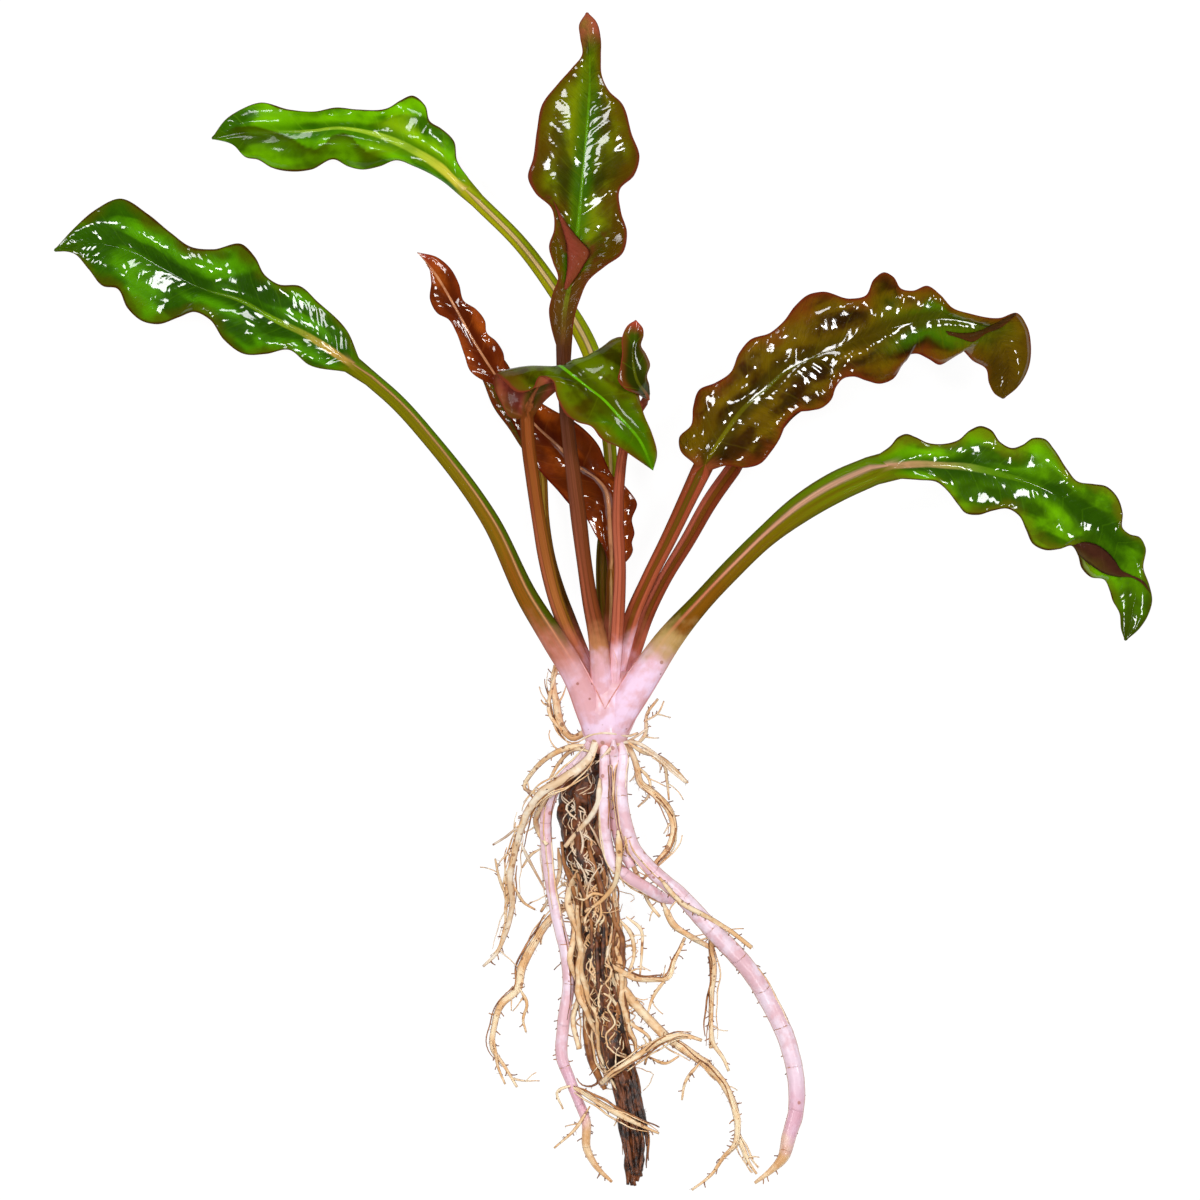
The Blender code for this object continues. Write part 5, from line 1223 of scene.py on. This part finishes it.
LEAF_LOOKS = {
    "leaf_low_left": {
        "sheath": (214, 132, 112), "pale": (-0.0225, -0.0065), "channel_at": (0.3, 0.14),
        "stalk": (
            ((146, 78, 20), (124, 120, 0)), ((204, 140, 92), (222, 168, 110)),
            ((66, 78, 0), (88, 126, 0)),
        ),
    },
    "leaf_high_left": {
        "light": (110, 180, 0), "dark": (62, 118, 0), "trough": (44, 98, 0), "vein": (128, 186, 30),
        "zone": (-0.1, 0.32, 0.6, (164, 210, 6)), "outer": (0.85, 1.15, 0.6, (84, 112, 4)),
        "rib": (1.1, 0.45, 0.85, (218, 204, 62), (160, 196, 44)), "fold": (56, 58, 0), "shine": 0.4,
        "creased": 0.3, "grown": (-0.56, -0.34), "channel_at": (0, 0.26), "stripe": (116, 100, 14),
        "stalk_edge": (78, 66, 6),
        "stalk": (
            ((58, 34, 4), (172, 172, 8)), ((92, 54, 14), (236, 204, 138)),
            ((64, 40, 4), (148, 168, 4)),
        ),
    },
    "leaf_top": {
        "light": (116, 130, 0), "dark": (70, 72, 0), "trough": (56, 104, 0), "vein": (120, 128, 4),
        "outer": (0.3, 0.9, 0.85, (92, 62, 0)), "tip": (0.88, (176, 84, 62)), "edge": (112, 46, 24),
        "edge_start": 0.9, "rib": (0.8, 0.3, 1, (120, 80, 30), (96, 148, 10)),
        "base": (0.3, 0.85, (96, 48, 16)), "fold": (140, 62, 44), "creased": 1.6,
        "under_light": (150, 70, 50), "under_dark": (96, 34, 20), "sheath": (206, 140, 92),
        "blush": (-0.009, -0.002), "pale": (-0.0135, -0.008), "stripe": (92, 48, 24),
        "stalk_edge": (86, 44, 12),
        "stalk": (
            ((162, 84, 56), (96, 58, 44)), ((150, 76, 46), (104, 62, 42)),
            ((130, 64, 30), (98, 54, 28)),
        ),
    },
    "leaf_red": {
        "light": (122, 92, 10), "dark": (80, 48, 6), "trough": (90, 24, 4), "vein": (132, 92, 22),
        "outer": (0.4, 1.1, 0.5, (126, 46, 14)), "tip": (0.9, (156, 58, 34)), "edge": (96, 26, 10),
        "rib": (0.5, 0.26, 1.2, (186, 124, 78), (146, 96, 44)), "under_shine": 1, "creased": 0.7,
        "under_light": (170, 78, 16), "under_dark": (112, 42, 4), "under_vein": (176, 96, 40),
        "under_rib": (214, 148, 104), "stripe": (110, 52, 16), "stalk_edge": (84, 30, 8),
        "stalk": (
            ((150, 76, 44), (150, 92, 30)), ((210, 160, 120), (206, 160, 100)),
            ((96, 40, 20), (130, 80, 20)),
        ),
    },
    "leaf_front": {
        "light": (92, 112, 0), "dark": (70, 62, 0), "trough": (66, 80, 0), "vein": (110, 130, 8),
        "zone": (0.7, 1, 0.7, (66, 124, 0)), "outer": (0.6, 1.05, 0.75, (104, 74, 8)),
        "tip": (0.95, (84, 132, 4)), "edge": (122, 52, 30),
        "rib": (0.55, 0.3, 1.1, (120, 66, 30), (104, 176, 10)), "shine": 0.35, "creased": 0.3,
        "under_light": (176, 84, 66), "under_dark": (126, 52, 40), "channel_at": (-0.1, 0.5),
        "stripe": (136, 78, 26), "stalk_edge": (92, 54, 12),
        "stalk": (
            ((150, 104, 22), (128, 60, 18)), ((178, 108, 54), (150, 78, 36)),
            ((202, 112, 78), (118, 52, 22)),
        ),
    },
    "leaf_young": {
        "light": (70, 92, 4), "dark": (52, 56, 2), "trough": (44, 50, 2),
        "outer": (0.4, 0.95, 0.75, (124, 58, 20)), "tip": (0.84, (178, 72, 50)),
        "edge": (128, 52, 32), "rib": (0.4, 0.3, 0.8, (150, 70, 50), (90, 96, 10)), "shine": 0.5,
        "creased": 0.3, "pale": (-0.011, -0.0045), "stripe": (170, 80, 62),
        "stalk_edge": (92, 36, 16),
        "stalk": (
            ((194, 106, 78), (148, 74, 44)), ((198, 106, 76), (162, 84, 50)),
            ((160, 78, 48), (116, 54, 24)),
        ),
    },
    "leaf_high_right": {
        "light": (108, 84, 0), "dark": (58, 32, 0), "trough": (66, 54, 0), "vein": (120, 108, 10),
        "zone": (0.6, 0.74, 0.75, (70, 122, 0)), "outer": (0.62, 1.05, 0.75, (122, 54, 14)),
        "tip": (0.78, (88, 64, 2)), "edge": (110, 40, 16),
        "rib": (0.6, 0.3, 0.5, (118, 110, 6), (92, 96, 2)), "fold": (62, 42, 8), "creased": 2.1,
        "under_light": (112, 62, 34), "under_dark": (80, 44, 20), "pale": (-0.011, -0.004),
        "stripe": (140, 62, 34), "stalk_edge": (96, 42, 14),
        "stalk": (
            ((180, 90, 58), (142, 66, 34)), ((116, 70, 10), (92, 74, 4)),
            ((186, 94, 64), (168, 78, 48)),
        ),
    },
    "leaf_low_right": {
        "light": (106, 172, 0), "dark": (66, 110, 0), "outer": (0.6, 1.05, 0.7, (112, 104, 8)),
        "tip": (0.74, (58, 76, 0)), "rib": (1, 0.4, 0.5, (206, 150, 110), (110, 160, 12)),
        "fold": (66, 34, 22), "creased": 0.5, "under_light": (112, 66, 46),
        "under_dark": (70, 40, 26), "sheath": (204, 168, 104), "blush": (-0.0075, -0.0025),
        "pale": (-0.015, -0.006), "channel_at": (-0.25, 0.18), "stripe": (112, 72, 18),
        "stalk_edge": (84, 72, 4),
        "stalk": (
            ((90, 80, 0), (92, 130, 0)), ((200, 106, 70), (246, 192, 160)),
            ((136, 72, 6), (108, 120, 0)),
        ),
    },
    "leaf_behind_right": {
        "light": (100, 84, 6), "dark": (70, 46, 2), "outer": (0.5, 1, 0.8, (122, 50, 14)),
        "stripe": (110, 56, 20), "stalk_edge": (92, 34, 10),
        "stalk": (
            ((200, 108, 84), (188, 94, 70)), ((136, 82, 24), (116, 70, 12)),
            ((164, 74, 46), (126, 52, 24)),
        ),
    },
    "leaf_behind_left": {
        "light": (126, 66, 20), "dark": (84, 30, 8), "outer": (0.5, 1, 0.8, (122, 40, 14)),
        "stripe": (72, 44, 10), "stalk_edge": (50, 24, 4),
        "stalk": (
            ((70, 44, 8), (150, 112, 30)), ((64, 36, 6), (176, 140, 50)),
            ((56, 30, 4), (150, 100, 30)),
        ),
    },
}


def make_leaves():
    """Each leaf's piece; returns a copy of all their surfaces."""
    surface = Skin()
    for seed, (name, leaf) in enumerate(LEAVES.items(), start=1):
        skin = leaf_skin(leaf, seed)
        surface.take(skin)
        material = leaf_material(name + "_wet", painted({**GREEN_LOOK, **LEAF_LOOKS[name]}))
        show(name + "_skin", skin.mesh(name + "_skin"), material, [name])
    return surface


# Crown


def add_tube(skin, path, sides, seed, lumps=0.0, lump_size=3.0, stretch=1.0):
    """A round tube along a path of (x, y, z, radius), with lumps as a share of the radius."""
    path = np.array(path, float)
    path[:, 2] = np.maximum(path[:, 2], path[:, 3])
    walked = lengths_along(path)[:, None]
    rings = path_rings(path, sides)
    if lumps:
        centres = path[:, None, :3]
        along = walked / lump_size / stretch
        place = (rings - centres) / lump_size + np.stack([0 * along, 0 * along, along], axis=-1)
        swell = noise_at(place, seed) + 0.5 * noise_at(place * 2.3, seed + 5)
        rings = centres + (rings - centres) * (1 + lumps * swell)[:, :, None]
    rings[:, :, 2] = np.maximum(rings[:, :, 2], TABLE_GAP)
    skin.loft(rings, {"along": walked})


def sheath_edges(surface):
    """Thin ridges where one sheath's edge lies on the next."""
    tree = surface.tree()
    skin = Skin()
    for start, end, points in SHEATH_EDGES:
        flat = evenly([(x, y, 0.0) for x, y in points], 0.5)
        height = [top_at(tree, x, y) for x, y, _ in flat]
        shares = np.linspace(0.0, 1.0, len(flat))
        thinned = 0.4 + 0.6 * ease(np.minimum(shares, 1 - shares) * 8)
        radius = (start + (end - start) * shares) * thinned
        level = smoothed(np.array(height), 1.0) - 0.3 * radius
        add_tube(skin, np.column_stack([flat[:, :2], level, radius]), 10, 1)
    return skin.mesh("sheath_edges")


def crown_material():
    """Pale pink, redder towards the leaves and at its foot, with brown flecks."""
    material, shader, wire, place = new_material(
        "crown_moist", Roughness=0.34, Coat_Weight=0.25, Coat_Roughness=0.15
    )
    height = wire.parts(place)[1]
    face = wire.mottled(place, 130.0, *SHEATH_COLOURS)
    face = wire.tint(face, colour(0.68, 0.36, 0.30), height, -0.021, -0.008)
    face = wire.tint(face, paint(216, 136, 106), height, -0.0296, -0.0270, 0.85, 0.0)
    face = wire.flecked(face, place, 420.0, 0.24, 0.7, colour(0.42, 0.17, 0.08))
    wire.feed(shader["Base Color"], face)
    add_bump(wire, shader, wire.ripples(place, 350.0), 0.12)
    return material


def crown_skin():
    """The short stem that the leaf bases sit round."""
    sections = curve_shares(CROWN, np.linspace(0.0, 1.0, 60))
    angles = np.arange(CROWN_SIDES) * 2 * math.pi / CROWN_SIDES
    rings = np.zeros((len(sections), CROWN_SIDES, 3))
    rings[:, :, 0] = sections[:, None, 0] - sections[:, None, 3] * np.cos(angles)
    rings[:, :, 1] = sections[:, None, 1]
    rings[:, :, 2] = sections[:, None, 2] + sections[:, None, 4] * np.sin(angles)
    rings[:, :, 2] += 0.15 * noise_at(rings / 3.0, 2.0)
    skin = Skin()
    skin.loft(rings)
    return skin


# Roots


def wander(start, heading, length, radius, draw):
    """A side root that wanders off: it keeps roughly to its heading and sinks towards the table."""
    step = min(0.9, length / 3.0)
    place = np.array(start, float)
    turn = draw.normal(0.0, 0.10)
    stations = [(*place, radius)]
    count = max(3, int(length / step))
    fall = draw.uniform(0.10, 0.5)
    for i in range(count):
        turn = (turn + draw.normal(0.0, 0.13)) * 0.92
        heading += turn
        drop = -fall * step * min(1.0, max(place[2] - 0.6, 0.0) / 2.0)
        place = place + (math.cos(heading) * step, math.sin(heading) * step, drop)
        place[2] = max(place[2], 0.2)
        stations.append((*place, max(0.11, radius * (1 - 0.72 * (i + 1) / count))))
    return stations


def add_side_roots(skin, path, draw, every, lengths, radius, branches=0.3):
    """Side roots along a root, some with a branch of their own."""
    stations = evenly(path, 1.0)
    tangents = unit(np.gradient(stations[:, :3], axis=0))
    place = draw.uniform(0.5, every)
    while place < len(stations) - 2:
        i = int(place)
        side = draw.choice((-1.0, 1.0))
        heading = math.atan2(tangents[i, 1], tangents[i, 0]) + side * draw.uniform(0.5, 1.35)
        length = draw.uniform(*lengths)
        outward = np.array((math.cos(heading), math.sin(heading), 0.0))
        start = stations[i, :3] + outward * (stations[i, 3] * 0.7)
        walk = wander(start, heading, length, radius * draw.uniform(0.6, 1.2), draw)
        add_tube(skin, walk, 6, 1)
        if draw.random() < branches and len(walk) > 6:
            j = len(walk) // 2
            turn = draw.choice((-1.0, 1.0)) * draw.uniform(0.5, 1.1)
            last = np.array(walk[j][:3]) - np.array(walk[j - 1][:3])
            course = math.atan2(last[1], last[0]) + turn
            add_tube(skin, wander(walk[j][:3], course, length * 0.5, walk[j][3] * 0.8, draw), 5, 1)
        place += every * draw.uniform(0.5, 1.5)


def laid_path(tree, start_height, end_height, start_radius, end_radius, points):
    """A thin root's stations, lifted to lie on any thicker piece that it crosses."""
    flat = evenly([(x, y, 0.0) for x, y in points], 0.8)
    shares = np.linspace(0.0, 1.0, len(flat))
    radius = start_radius + (end_radius - start_radius) * shares
    radius *= 0.35 + 0.65 * ease(lengths_along(flat) / 3.0)
    height = start_height + (end_height - start_height) * ease(shares)
    for i, (x, y, _) in enumerate(flat):
        top = top_at(tree, x, y)
        if top is not None:
            height[i] = max(height[i], top + radius[i] * 0.8)
    return np.column_stack([flat[:, :2], np.maximum(smoothed(height, 2.0), radius), radius])


def make_rootlet_group():
    """Geometry Nodes: short tapering rootlets that stand out all over a root's skin."""
    inputs = {
        "Root": "shape", "A square metre": "number", "Shortest": "number", "Longest": "number",
        "Thickness": "number", "Seed": "whole number", "Finish": "finish",
    }
    wire, given, result = new_group("Rootlets", inputs, "Rootlets", "shape", "GeometryNodeTree")
    scatter = wire.node(
        "GeometryNodeDistributePointsOnFaces",
        {"Mesh": given["Root"], "Density": given["A square metre"], "Seed": given["Seed"]},
    )
    line = wire.made("GeometryNodeCurvePrimitiveLine", {"Start": (0, 0, -0.15), "End": (0, 0, 1)})
    line = wire.made("GeometryNodeResampleCurve", {"Curve": line, "Count": 6})
    position = wire.made("GeometryNodeInputPosition")
    wobble = wire.node("ShaderNodeTexNoise", {"Vector": position, "Scale": 1.7}).outputs["Color"]
    centred = wire.vector("SUBTRACT", wobble, (0.5, 0.5, 0.5))
    swing = wire.vector("MULTIPLY", centred, (1.5, 1.5, 0.3))
    share = wire.node("GeometryNodeSplineParameter").outputs["Factor"]
    profile = {"Resolution": 5, "Radius": given["Thickness"]}
    tube = wire.made("GeometryNodeCurveToMesh", {
        "Curve": wire.made("GeometryNodeSetPosition", {"Geometry": line, "Offset": swing}),
        "Profile Curve": wire.made("GeometryNodeCurvePrimitiveCircle", profile),
        "Scale": wire.minus(1.0, wire.times(share, 0.75)),
        "Fill Caps": True,
    })
    leaning = {0: (-0.9, -0.9, -3.14), 1: (0.9, 0.9, 3.14), "Seed": given["Seed"]}
    tilt = wire.made("FunctionNodeRandomValue", leaning, data_type="FLOAT_VECTOR")
    turned = wire.made(
        "FunctionNodeRotateRotation",
        {"Rotation": scatter.outputs["Rotation"],
         "Rotate By": wire.made("FunctionNodeEulerToRotation", {0: tilt})},
        rotation_space="LOCAL",
    )
    long = {2: given["Shortest"], 3: given["Longest"], "Seed": given["Seed"]}
    size = wire.node("FunctionNodeRandomValue", long, data_type="FLOAT").outputs[1]
    points = scatter.outputs["Points"]
    grown = {"Points": points, "Instance": tube, "Rotation": turned, "Scale": size}
    real = wire.made(
        "GeometryNodeRealizeInstances", {0: wire.made("GeometryNodeInstanceOnPoints", grown)}
    )
    finished = {"Geometry": real, "Material": given["Finish"]}
    wire.feed(result, wire.made("GeometryNodeSetMaterial", finished))


def keep_above_table(mesh):
    """Lays flat on the table whatever would pass through it."""
    flat = np.empty(len(mesh.vertices) * 3)
    mesh.vertices.foreach_get("co", flat)
    flat[2::3] = np.maximum(flat[2::3], TABLE_GAP * MM)
    mesh.vertices.foreach_set("co", flat)
    mesh.update()


def make_rootlets(mesh, name, material, density, longest, seed):
    """A piece of rootlets over another piece's mesh, made plain."""
    carrier = placed(name + "_carrier", mesh)
    modifier = carrier.modifiers.new("rootlets", "NODES")
    modifier.node_group = GROUPS["Rootlets"]
    given = {
        "A square metre": density, "Shortest": 0.0004, "Longest": longest, "Thickness": 0.09,
        "Seed": seed, "Finish": material,
    }
    for item in GROUPS["Rootlets"].interface.items_tree:
        if item.name in given:
            modifier[item.identifier] = given[item.name]
    carrier.update_tag()
    bpy.context.view_layer.update()
    graph = bpy.context.evaluated_depsgraph_get()
    grown = bpy.data.meshes.new_from_object(carrier.evaluated_get(graph))
    bpy.data.objects.remove(carrier, do_unlink=True)
    grown.shade_smooth()
    keep_above_table(grown)
    show(name + "_rootlets", grown, material)


def strand_beside(path, draw, length, spread, radius, inward):
    """A thin strand that follows a stretch of a thicker root and wavers over it."""
    total = lengths_along(path)[-1]
    start = draw.uniform(0.0, max(total - length, 0.5))
    places = np.arange(start, min(start + length, total), 0.8)
    if len(places) < 4:
        return None
    stations = curve_at(path, places)
    waver = sum(
        size * np.sin(places / period + draw.uniform(0.0, 6.3))
        for period, size in ((0.9, 0.16), (2.3, 0.4), (5.5, 0.7))
    )
    lean = draw.uniform(-1.0, 1.0)
    offset = np.sign(lean) * abs(lean) ** inward * (stations[:, 3] + spread * 0.5)
    offset = offset + waver * spread * 0.5
    over = np.sqrt(np.maximum(stations[:, 3] ** 2 - offset**2, 0.0))
    beyond = np.maximum(np.abs(offset) - stations[:, 3], 0.0)
    height = stations[:, 2] + over * 0.95 + radius * 0.4 - 0.5 * beyond
    shares = np.linspace(0.0, 1.0, len(places))
    thick = radius * (0.55 + 0.45 * np.sin(math.pi * shares)) * (1 - 0.3 * shares)
    flat = stations[:, :2] + leftward(stations) * offset[:, None]
    return np.column_stack([flat, np.maximum(height, thick), thick])


def add_strands(skins, path, draw, count, lengths, spread, radii, tones, inward=0.6):
    """A bundle of strands along a root, each in one of the given tones."""
    for _ in range(count):
        radius = draw.uniform(*radii)
        walk = strand_beside(path, draw, draw.uniform(*lengths), spread, radius, inward)
        if walk is not None:
            add_tube(skins[draw.choice(tones)], walk, 6, 1, 0.2, 0.9)


def add_net(skin, tree, path, draw, count, lengths, spread, radii):
    """Fine roots that lie over a thick one, wind from side to side and cross each other."""
    total = lengths_along(path)[-1]
    for _ in range(count):
        start = draw.uniform(0.0, total - lengths[1])
        places = np.arange(start, start + draw.uniform(*lengths), 0.6)
        stations = curve_at(path, places)
        waver = sum(
            size * np.sin(2 * math.pi * places / draw.uniform(*periods) + draw.uniform(0.0, 6.3))
            for size, periods in ((0.7, (12.0, 26.0)), (0.2, (4.0, 6.5)), (0.05, (1.6, 2.6)))
        )
        offset = spread * stations[:, 3] * (waver + draw.uniform(-0.5, 0.5))
        flat = stations[:, :2] + leftward(stations) * offset[:, None]
        radius = draw.uniform(*radii)
        add_tube(skin, laid_path(tree, 0.3, 0.3, radius, 0.6 * radius, flat), 6, 1, 0.2, 0.9)


def root_material(name, dark, light, rim, wet, patches_a_metre=210.0, drawn_out=1.0):
    """Root skin: mottled, specked, and darker down its flanks, which is painted shade."""
    material, shader, wire, place = new_material(
        name, Roughness=0.5, Coat_Weight=wet, Coat_Roughness=0.2
    )
    pulled = wire.vector("MULTIPLY", place, (1.0, 1.0 / drawn_out, 1.0))
    face = wire.mottled(pulled, patches_a_metre, dark, light)
    # Painted shade: the sides that turn away from straight up or down take the darker flank colour.
    face = wire.tint(face, rim, wire.flank(), 0.34, 0.72, 0.0, 0.95)
    face = wire.flecked(face, place, 620.0, 0.34, 0.75, rim)
    wire.feed(shader["Base Color"], face)
    add_bump(wire, shader, wire.ripples(pulled, 900.0), 0.12)
    return material


def runner_material():
    """A pink runner with broken lines at its old scales, turning tan towards its tip, with painted
    shade down its flanks.
    """
    material, shader, wire, place = new_material(
        "runner_moist", Roughness=0.35, Coat_Weight=0.2, Coat_Roughness=0.15
    )
    face = wire.mottled(place, 190.0, paint(240, 194, 204), paint(254, 230, 244))
    tan = wire.mottled(place, 210.0, paint(226, 172, 116), paint(248, 214, 170))
    parts = wire.parts(place)
    late = wire.ramp(parts[0], 0.0, 0.03, 0.0, 0.0045)
    depth = wire.plus(parts[1], late, wire.times(wire.torn(place, 160.0), 0.012))
    face = wire.tint(face, paint(226, 160, 184), depth, -0.098, -0.084, 0.55, 0.0)
    face = wire.tint(face, tan, depth, -0.1065, -0.1005, 1.0, 0.0)
    bend = wire.times(wire.noise(place, 350.0), 1.6)
    phase = wire.math("FRACT", wire.math("DIVIDE", wire.plus(wire.value("along"), bend), 8.5))
    ring = wire.ramp(wire.size(wire.minus(phase, 0.5)), 0.004, 0.016, 1.0, 0.0)
    broken = wire.ramp(wire.noise(place, 700.0), 0.5, 0.6)
    face = wire.blend(wire.times(ring, broken), face, paint(206, 140, 96))
    face = wire.flecked(face, place, 480.0, 0.26, 0.7, paint(176, 96, 60))
    # Painted shade down the runner's flanks.
    face = wire.tint(face, paint(190, 124, 80), wire.flank(), 0.45, 0.8, 0.0, 0.9)
    wire.feed(shader["Base Color"], face)
    add_bump(wire, shader, wire.minus(wire.ripples(place, 600.0), ring), 0.08)
    return material


# Finish, dark and light patches, the colour of the painted shade down the flanks and of the
# flecks, wetness, and for bark the patches a metre and how far they are drawn out.
ROOT_FINISHES = {
    "tan": ("root_tan", (236, 184, 126), (254, 230, 190), (146, 82, 32), 0.3),
    "brown": ("root_brown", (122, 66, 24), (190, 126, 68), (84, 40, 12), 0.3),
    "cream": ("root_cream", (236, 200, 158), (254, 238, 214), (176, 116, 66), 0.3),
    "bark": ("rootstock_damp", (30, 10, 1), (128, 68, 30), (44, 17, 3), 0.2, 420.0, 1.3),
}
# The ridges at the sheath edges use the same finish, with painted shade down their flanks.
SHEATH_EDGE_FINISH = ("sheath_edge", (214, 134, 118), (244, 190, 190), (196, 108, 86), 0.3)
ROOT_TONES = {"root_long_left": "cream", "root_behind": "brown"}  # the rest are tan
ROOT_SHARE = 0.8  # a root's own thickness, out of the bundle that it makes with its strands
STATION = 0.7  # from one of a root's stations to the next

# Strands and nets along the rootstock: stations from and to, how many, their lengths, how far they
# spread, their radii and tones, and how far in strands lie. A net has one tone and no last value.
OLD_STEM_GROWTH = [
    ((30, 105), 30, (12.0, 40.0), 2.2, (0.2, 0.45), ["brown", "tan", "tan"], 0.12),
    ((6, 76), 22, (8.0, 22.0), 0.9, (0.11, 0.26), "cream", None),
    ((30, 112), 26, (8.0, 22.0), 1.3, (0.14, 0.32), "tan", None),
    ((30, 112), 18, (8.0, 20.0), 2.3, (0.12, 0.22), "tan", None),
    ((50, 110), 14, (6.0, 18.0), 1.2, (0.12, 0.3), "brown", None),
    ((50, 100), 7, (14.0, 34.0), 2.2, (0.5, 0.9), ["tan", "brown"], 0.1),
    ((95, None), 16, (5.0, 16.0), 0.8, (0.3, 0.7), ["bark"], 0.6),
    ((80, None), 12, (5.0, 16.0), 1.2, (0.14, 0.3), ["brown"], 0.6),
    ((10, None), 14, (6.0, 22.0), 0.8, (0.3, 0.8), ["bark", "bark", "brown"], 0.9),
]


def make_old_stem(skins, tree, draw):
    """A ragged bundle down each side of the rootstock and dark splinters at its end."""
    path = evenly(ROOTS["rootstock"], STATION)
    for (start, stop), count, lengths, spread, radii, tones, inward in OLD_STEM_GROWTH:
        part = path[start:stop]
        if inward is None:
            add_net(skins[tones], tree, part, draw, count, lengths, spread, radii)
        else:
            add_strands(skins, part, draw, count, lengths, spread, radii, tones, inward)
    for _ in range(11):
        lean = draw.uniform(-1.5, 1.5)
        x, y, z, _ = path[-14]
        splinter = [
            (x + lean, y + 3.0, 2.4, 0.9), (x + 0.9 * lean, y - 3.0, 2.4, 0.8),
            (x + 0.8 * lean + draw.uniform(-0.7, 0.7), y - 7.0, 1.9, 0.65),
            (x + 0.6 * lean + draw.uniform(-0.9, 0.9), y - draw.uniform(9.0, 11.4), 1.2, 0.3),
        ]
        add_tube(skins["bark"], evenly(splinter, 0.6), 8, 3, 0.35, 0.9)


def make_thin_roots(support, strands, tones, draw):
    """The listed thin roots, on the thicker pieces that carry them."""
    tree = support.tree()
    for name, rows in THIN_ROOTS.items():
        tone = name.split("_")[2] if name.split("_")[2] in tones else "tan"
        skin = Skin()
        for row in rows:
            walk = laid_path(tree, *row)
            add_tube(skin, walk, 12, len(walk), 0.14, 1.3, 2.0)
            if tone == "tan":
                add_side_roots(strands["brown"], walk, draw, 1.9, (0.3, 1.1), 0.16, 0.0)
                add_side_roots(skin, walk, draw, 13.0, (2.0, 5.0), 0.18)
        mesh = skin.mesh(name)
        show(name, mesh, tones[tone])
        if tone == "tan":
            make_rootlets(mesh, name, tones["brown"], 1.6e5, 0.0008, len(rows))


def make_roots(crown_surface):
    """The rootstock, runners, roots, side roots, strands and rootlets."""
    tones = {tone: root_material(*painted(row)) for tone, row in ROOT_FINISHES.items()}
    tones["runner"] = runner_material()
    make_rootlet_group()
    draw = np.random.default_rng(20)
    support = Skin()
    strands = {tone: Skin() for tone in ROOT_FINISHES}
    fuzz = strands["brown"]
    for index, (name, stations) in enumerate(ROOTS.items()):
        kind = name.split("_")[0]
        path = evenly(stations, STATION)
        skin = Skin()
        add_tube(support, evenly(stations, 2.0), 8, index)
        finish = tones["bark"]
        if kind == "rootstock":
            path[-16:, 3] *= np.linspace(1.0, 0.4, 16)
            add_tube(skin, path, 64, index, 0.42, 1.7, 2.0)
            old_stem = skin.tree()
        elif kind == "runner":
            add_tube(skin, path, 24, index, 0.05, 2.0)
            add_side_roots(fuzz, path[16:], draw, 1.2, (0.4, 1.5), 0.2, 0.0)
            mixed = ["tan", "cream", "brown"]
            add_strands(strands, path, draw, 5, (8.0, 26.0), 0.5, (0.14, 0.24), mixed)
            finish = tones["runner"]
        else:
            path[:, 3] *= ROOT_SHARE
            add_tube(skin, path, 16, index, 0.14, 1.5, 2.0)
            add_side_roots(fuzz, path, draw, 1.4, (0.4, 1.5), 0.2, 0.0)
            add_side_roots(skin, path, draw, 15.0, (2.0, 6.0), 0.24)
            mixed = ["tan", "tan", "brown"]
            add_strands(strands, path, draw, 4, (8.0, 26.0), 1.1, (0.15, 0.28), mixed)
            finish = tones[ROOT_TONES.get(name, "tan")]
        if name == "root_long_left":
            mixed = ["cream", "tan", "tan"]
            add_strands(strands, path, draw, 12, (8.0, 24.0), 1.4, (0.1, 0.24), mixed)
        mesh = skin.mesh(name + "_skin")
        show(name + "_skin", mesh, finish, [name])
        if kind != "runner":
            make_rootlets(mesh, name, tones["brown"], 2.0e5, 0.0009, index)
    make_old_stem(strands, old_stem, draw)
    support.take(crown_surface)
    make_thin_roots(support, strands, tones, draw)
    for tone, skin in strands.items():
        name = "strands_" + tone
        show(name, skin.mesh(name), tones[tone])


# Camera, floor and light


def make_camera():
    data = bpy.data.cameras.new("camera")
    data.lens = LENS_MM
    data.sensor_width = SENSOR_MM
    data.clip_end = 40.0
    camera = placed("camera", data)
    height = REFERENCE_HEIGHT + PHOTO_SIDE * LENS_MM / SENSOR_MM
    camera.location = Vector((-OUTLINE_MIDDLE[0], -OUTLINE_MIDDLE[1], height)) * MM
    bpy.context.scene.camera = camera


def make_floor():
    mesh = bpy.data.meshes.new("floor")
    corners = [(x * FLOOR_HALF, y * FLOOR_HALF, 0) for x, y in ((-1, -1), (1, -1), (1, 1), (-1, 1))]
    mesh.from_pydata(corners, [], [(0, 1, 2, 3)])
    floor = placed("floor", mesh)
    floor.location.z = -FLOOR_DROP
    material, shader, _, _ = new_material("floor_pale", Roughness=0.9, Specular_IOR_Level=0.1)
    shader["Base Color"].default_value = colour(0.12, 0.12, 0.12)
    shader["Emission Color"].default_value = colour(1.0, 1.0, 1.0)
    shader["Emission Strength"].default_value = FLOOR_GLOW
    mesh.materials.append(material)


def make_lights():
    world = bpy.data.worlds.new("soft_studio")
    world.use_nodes = True
    background = world.node_tree.nodes["Background"]
    background.inputs["Color"].default_value = colour(1.0, 1.0, 1.0)
    background.inputs["Strength"].default_value = WORLD_STRENGTH
    bpy.context.scene.world = world
    for name, direction, size, power in STUDIO_LIGHTS:
        data = bpy.data.lights.new(name, "AREA")
        data.shape = "RECTANGLE"
        data.size, data.size_y = size
        data.energy = power
        light = placed(name, data)
        aim = Vector(direction).normalized()
        light.location = aim * LIGHT_DISTANCE
        light.rotation_euler = aim.to_track_quat("Z", "Y").to_euler()


bpy.context.scene.view_settings.view_transform = "Standard"
make_camera()
make_floor()
make_lights()
surface = make_leaves()
crown_surface = crown_skin()
surface.take(crown_surface)
show("crown_skin", crown_surface.mesh("crown_skin"), crown_material(), ["crown"])
edge_finish = root_material(*painted(SHEATH_EDGE_FINISH))
show("sheath_edges", sheath_edges(surface), edge_finish)
make_roots(crown_surface)
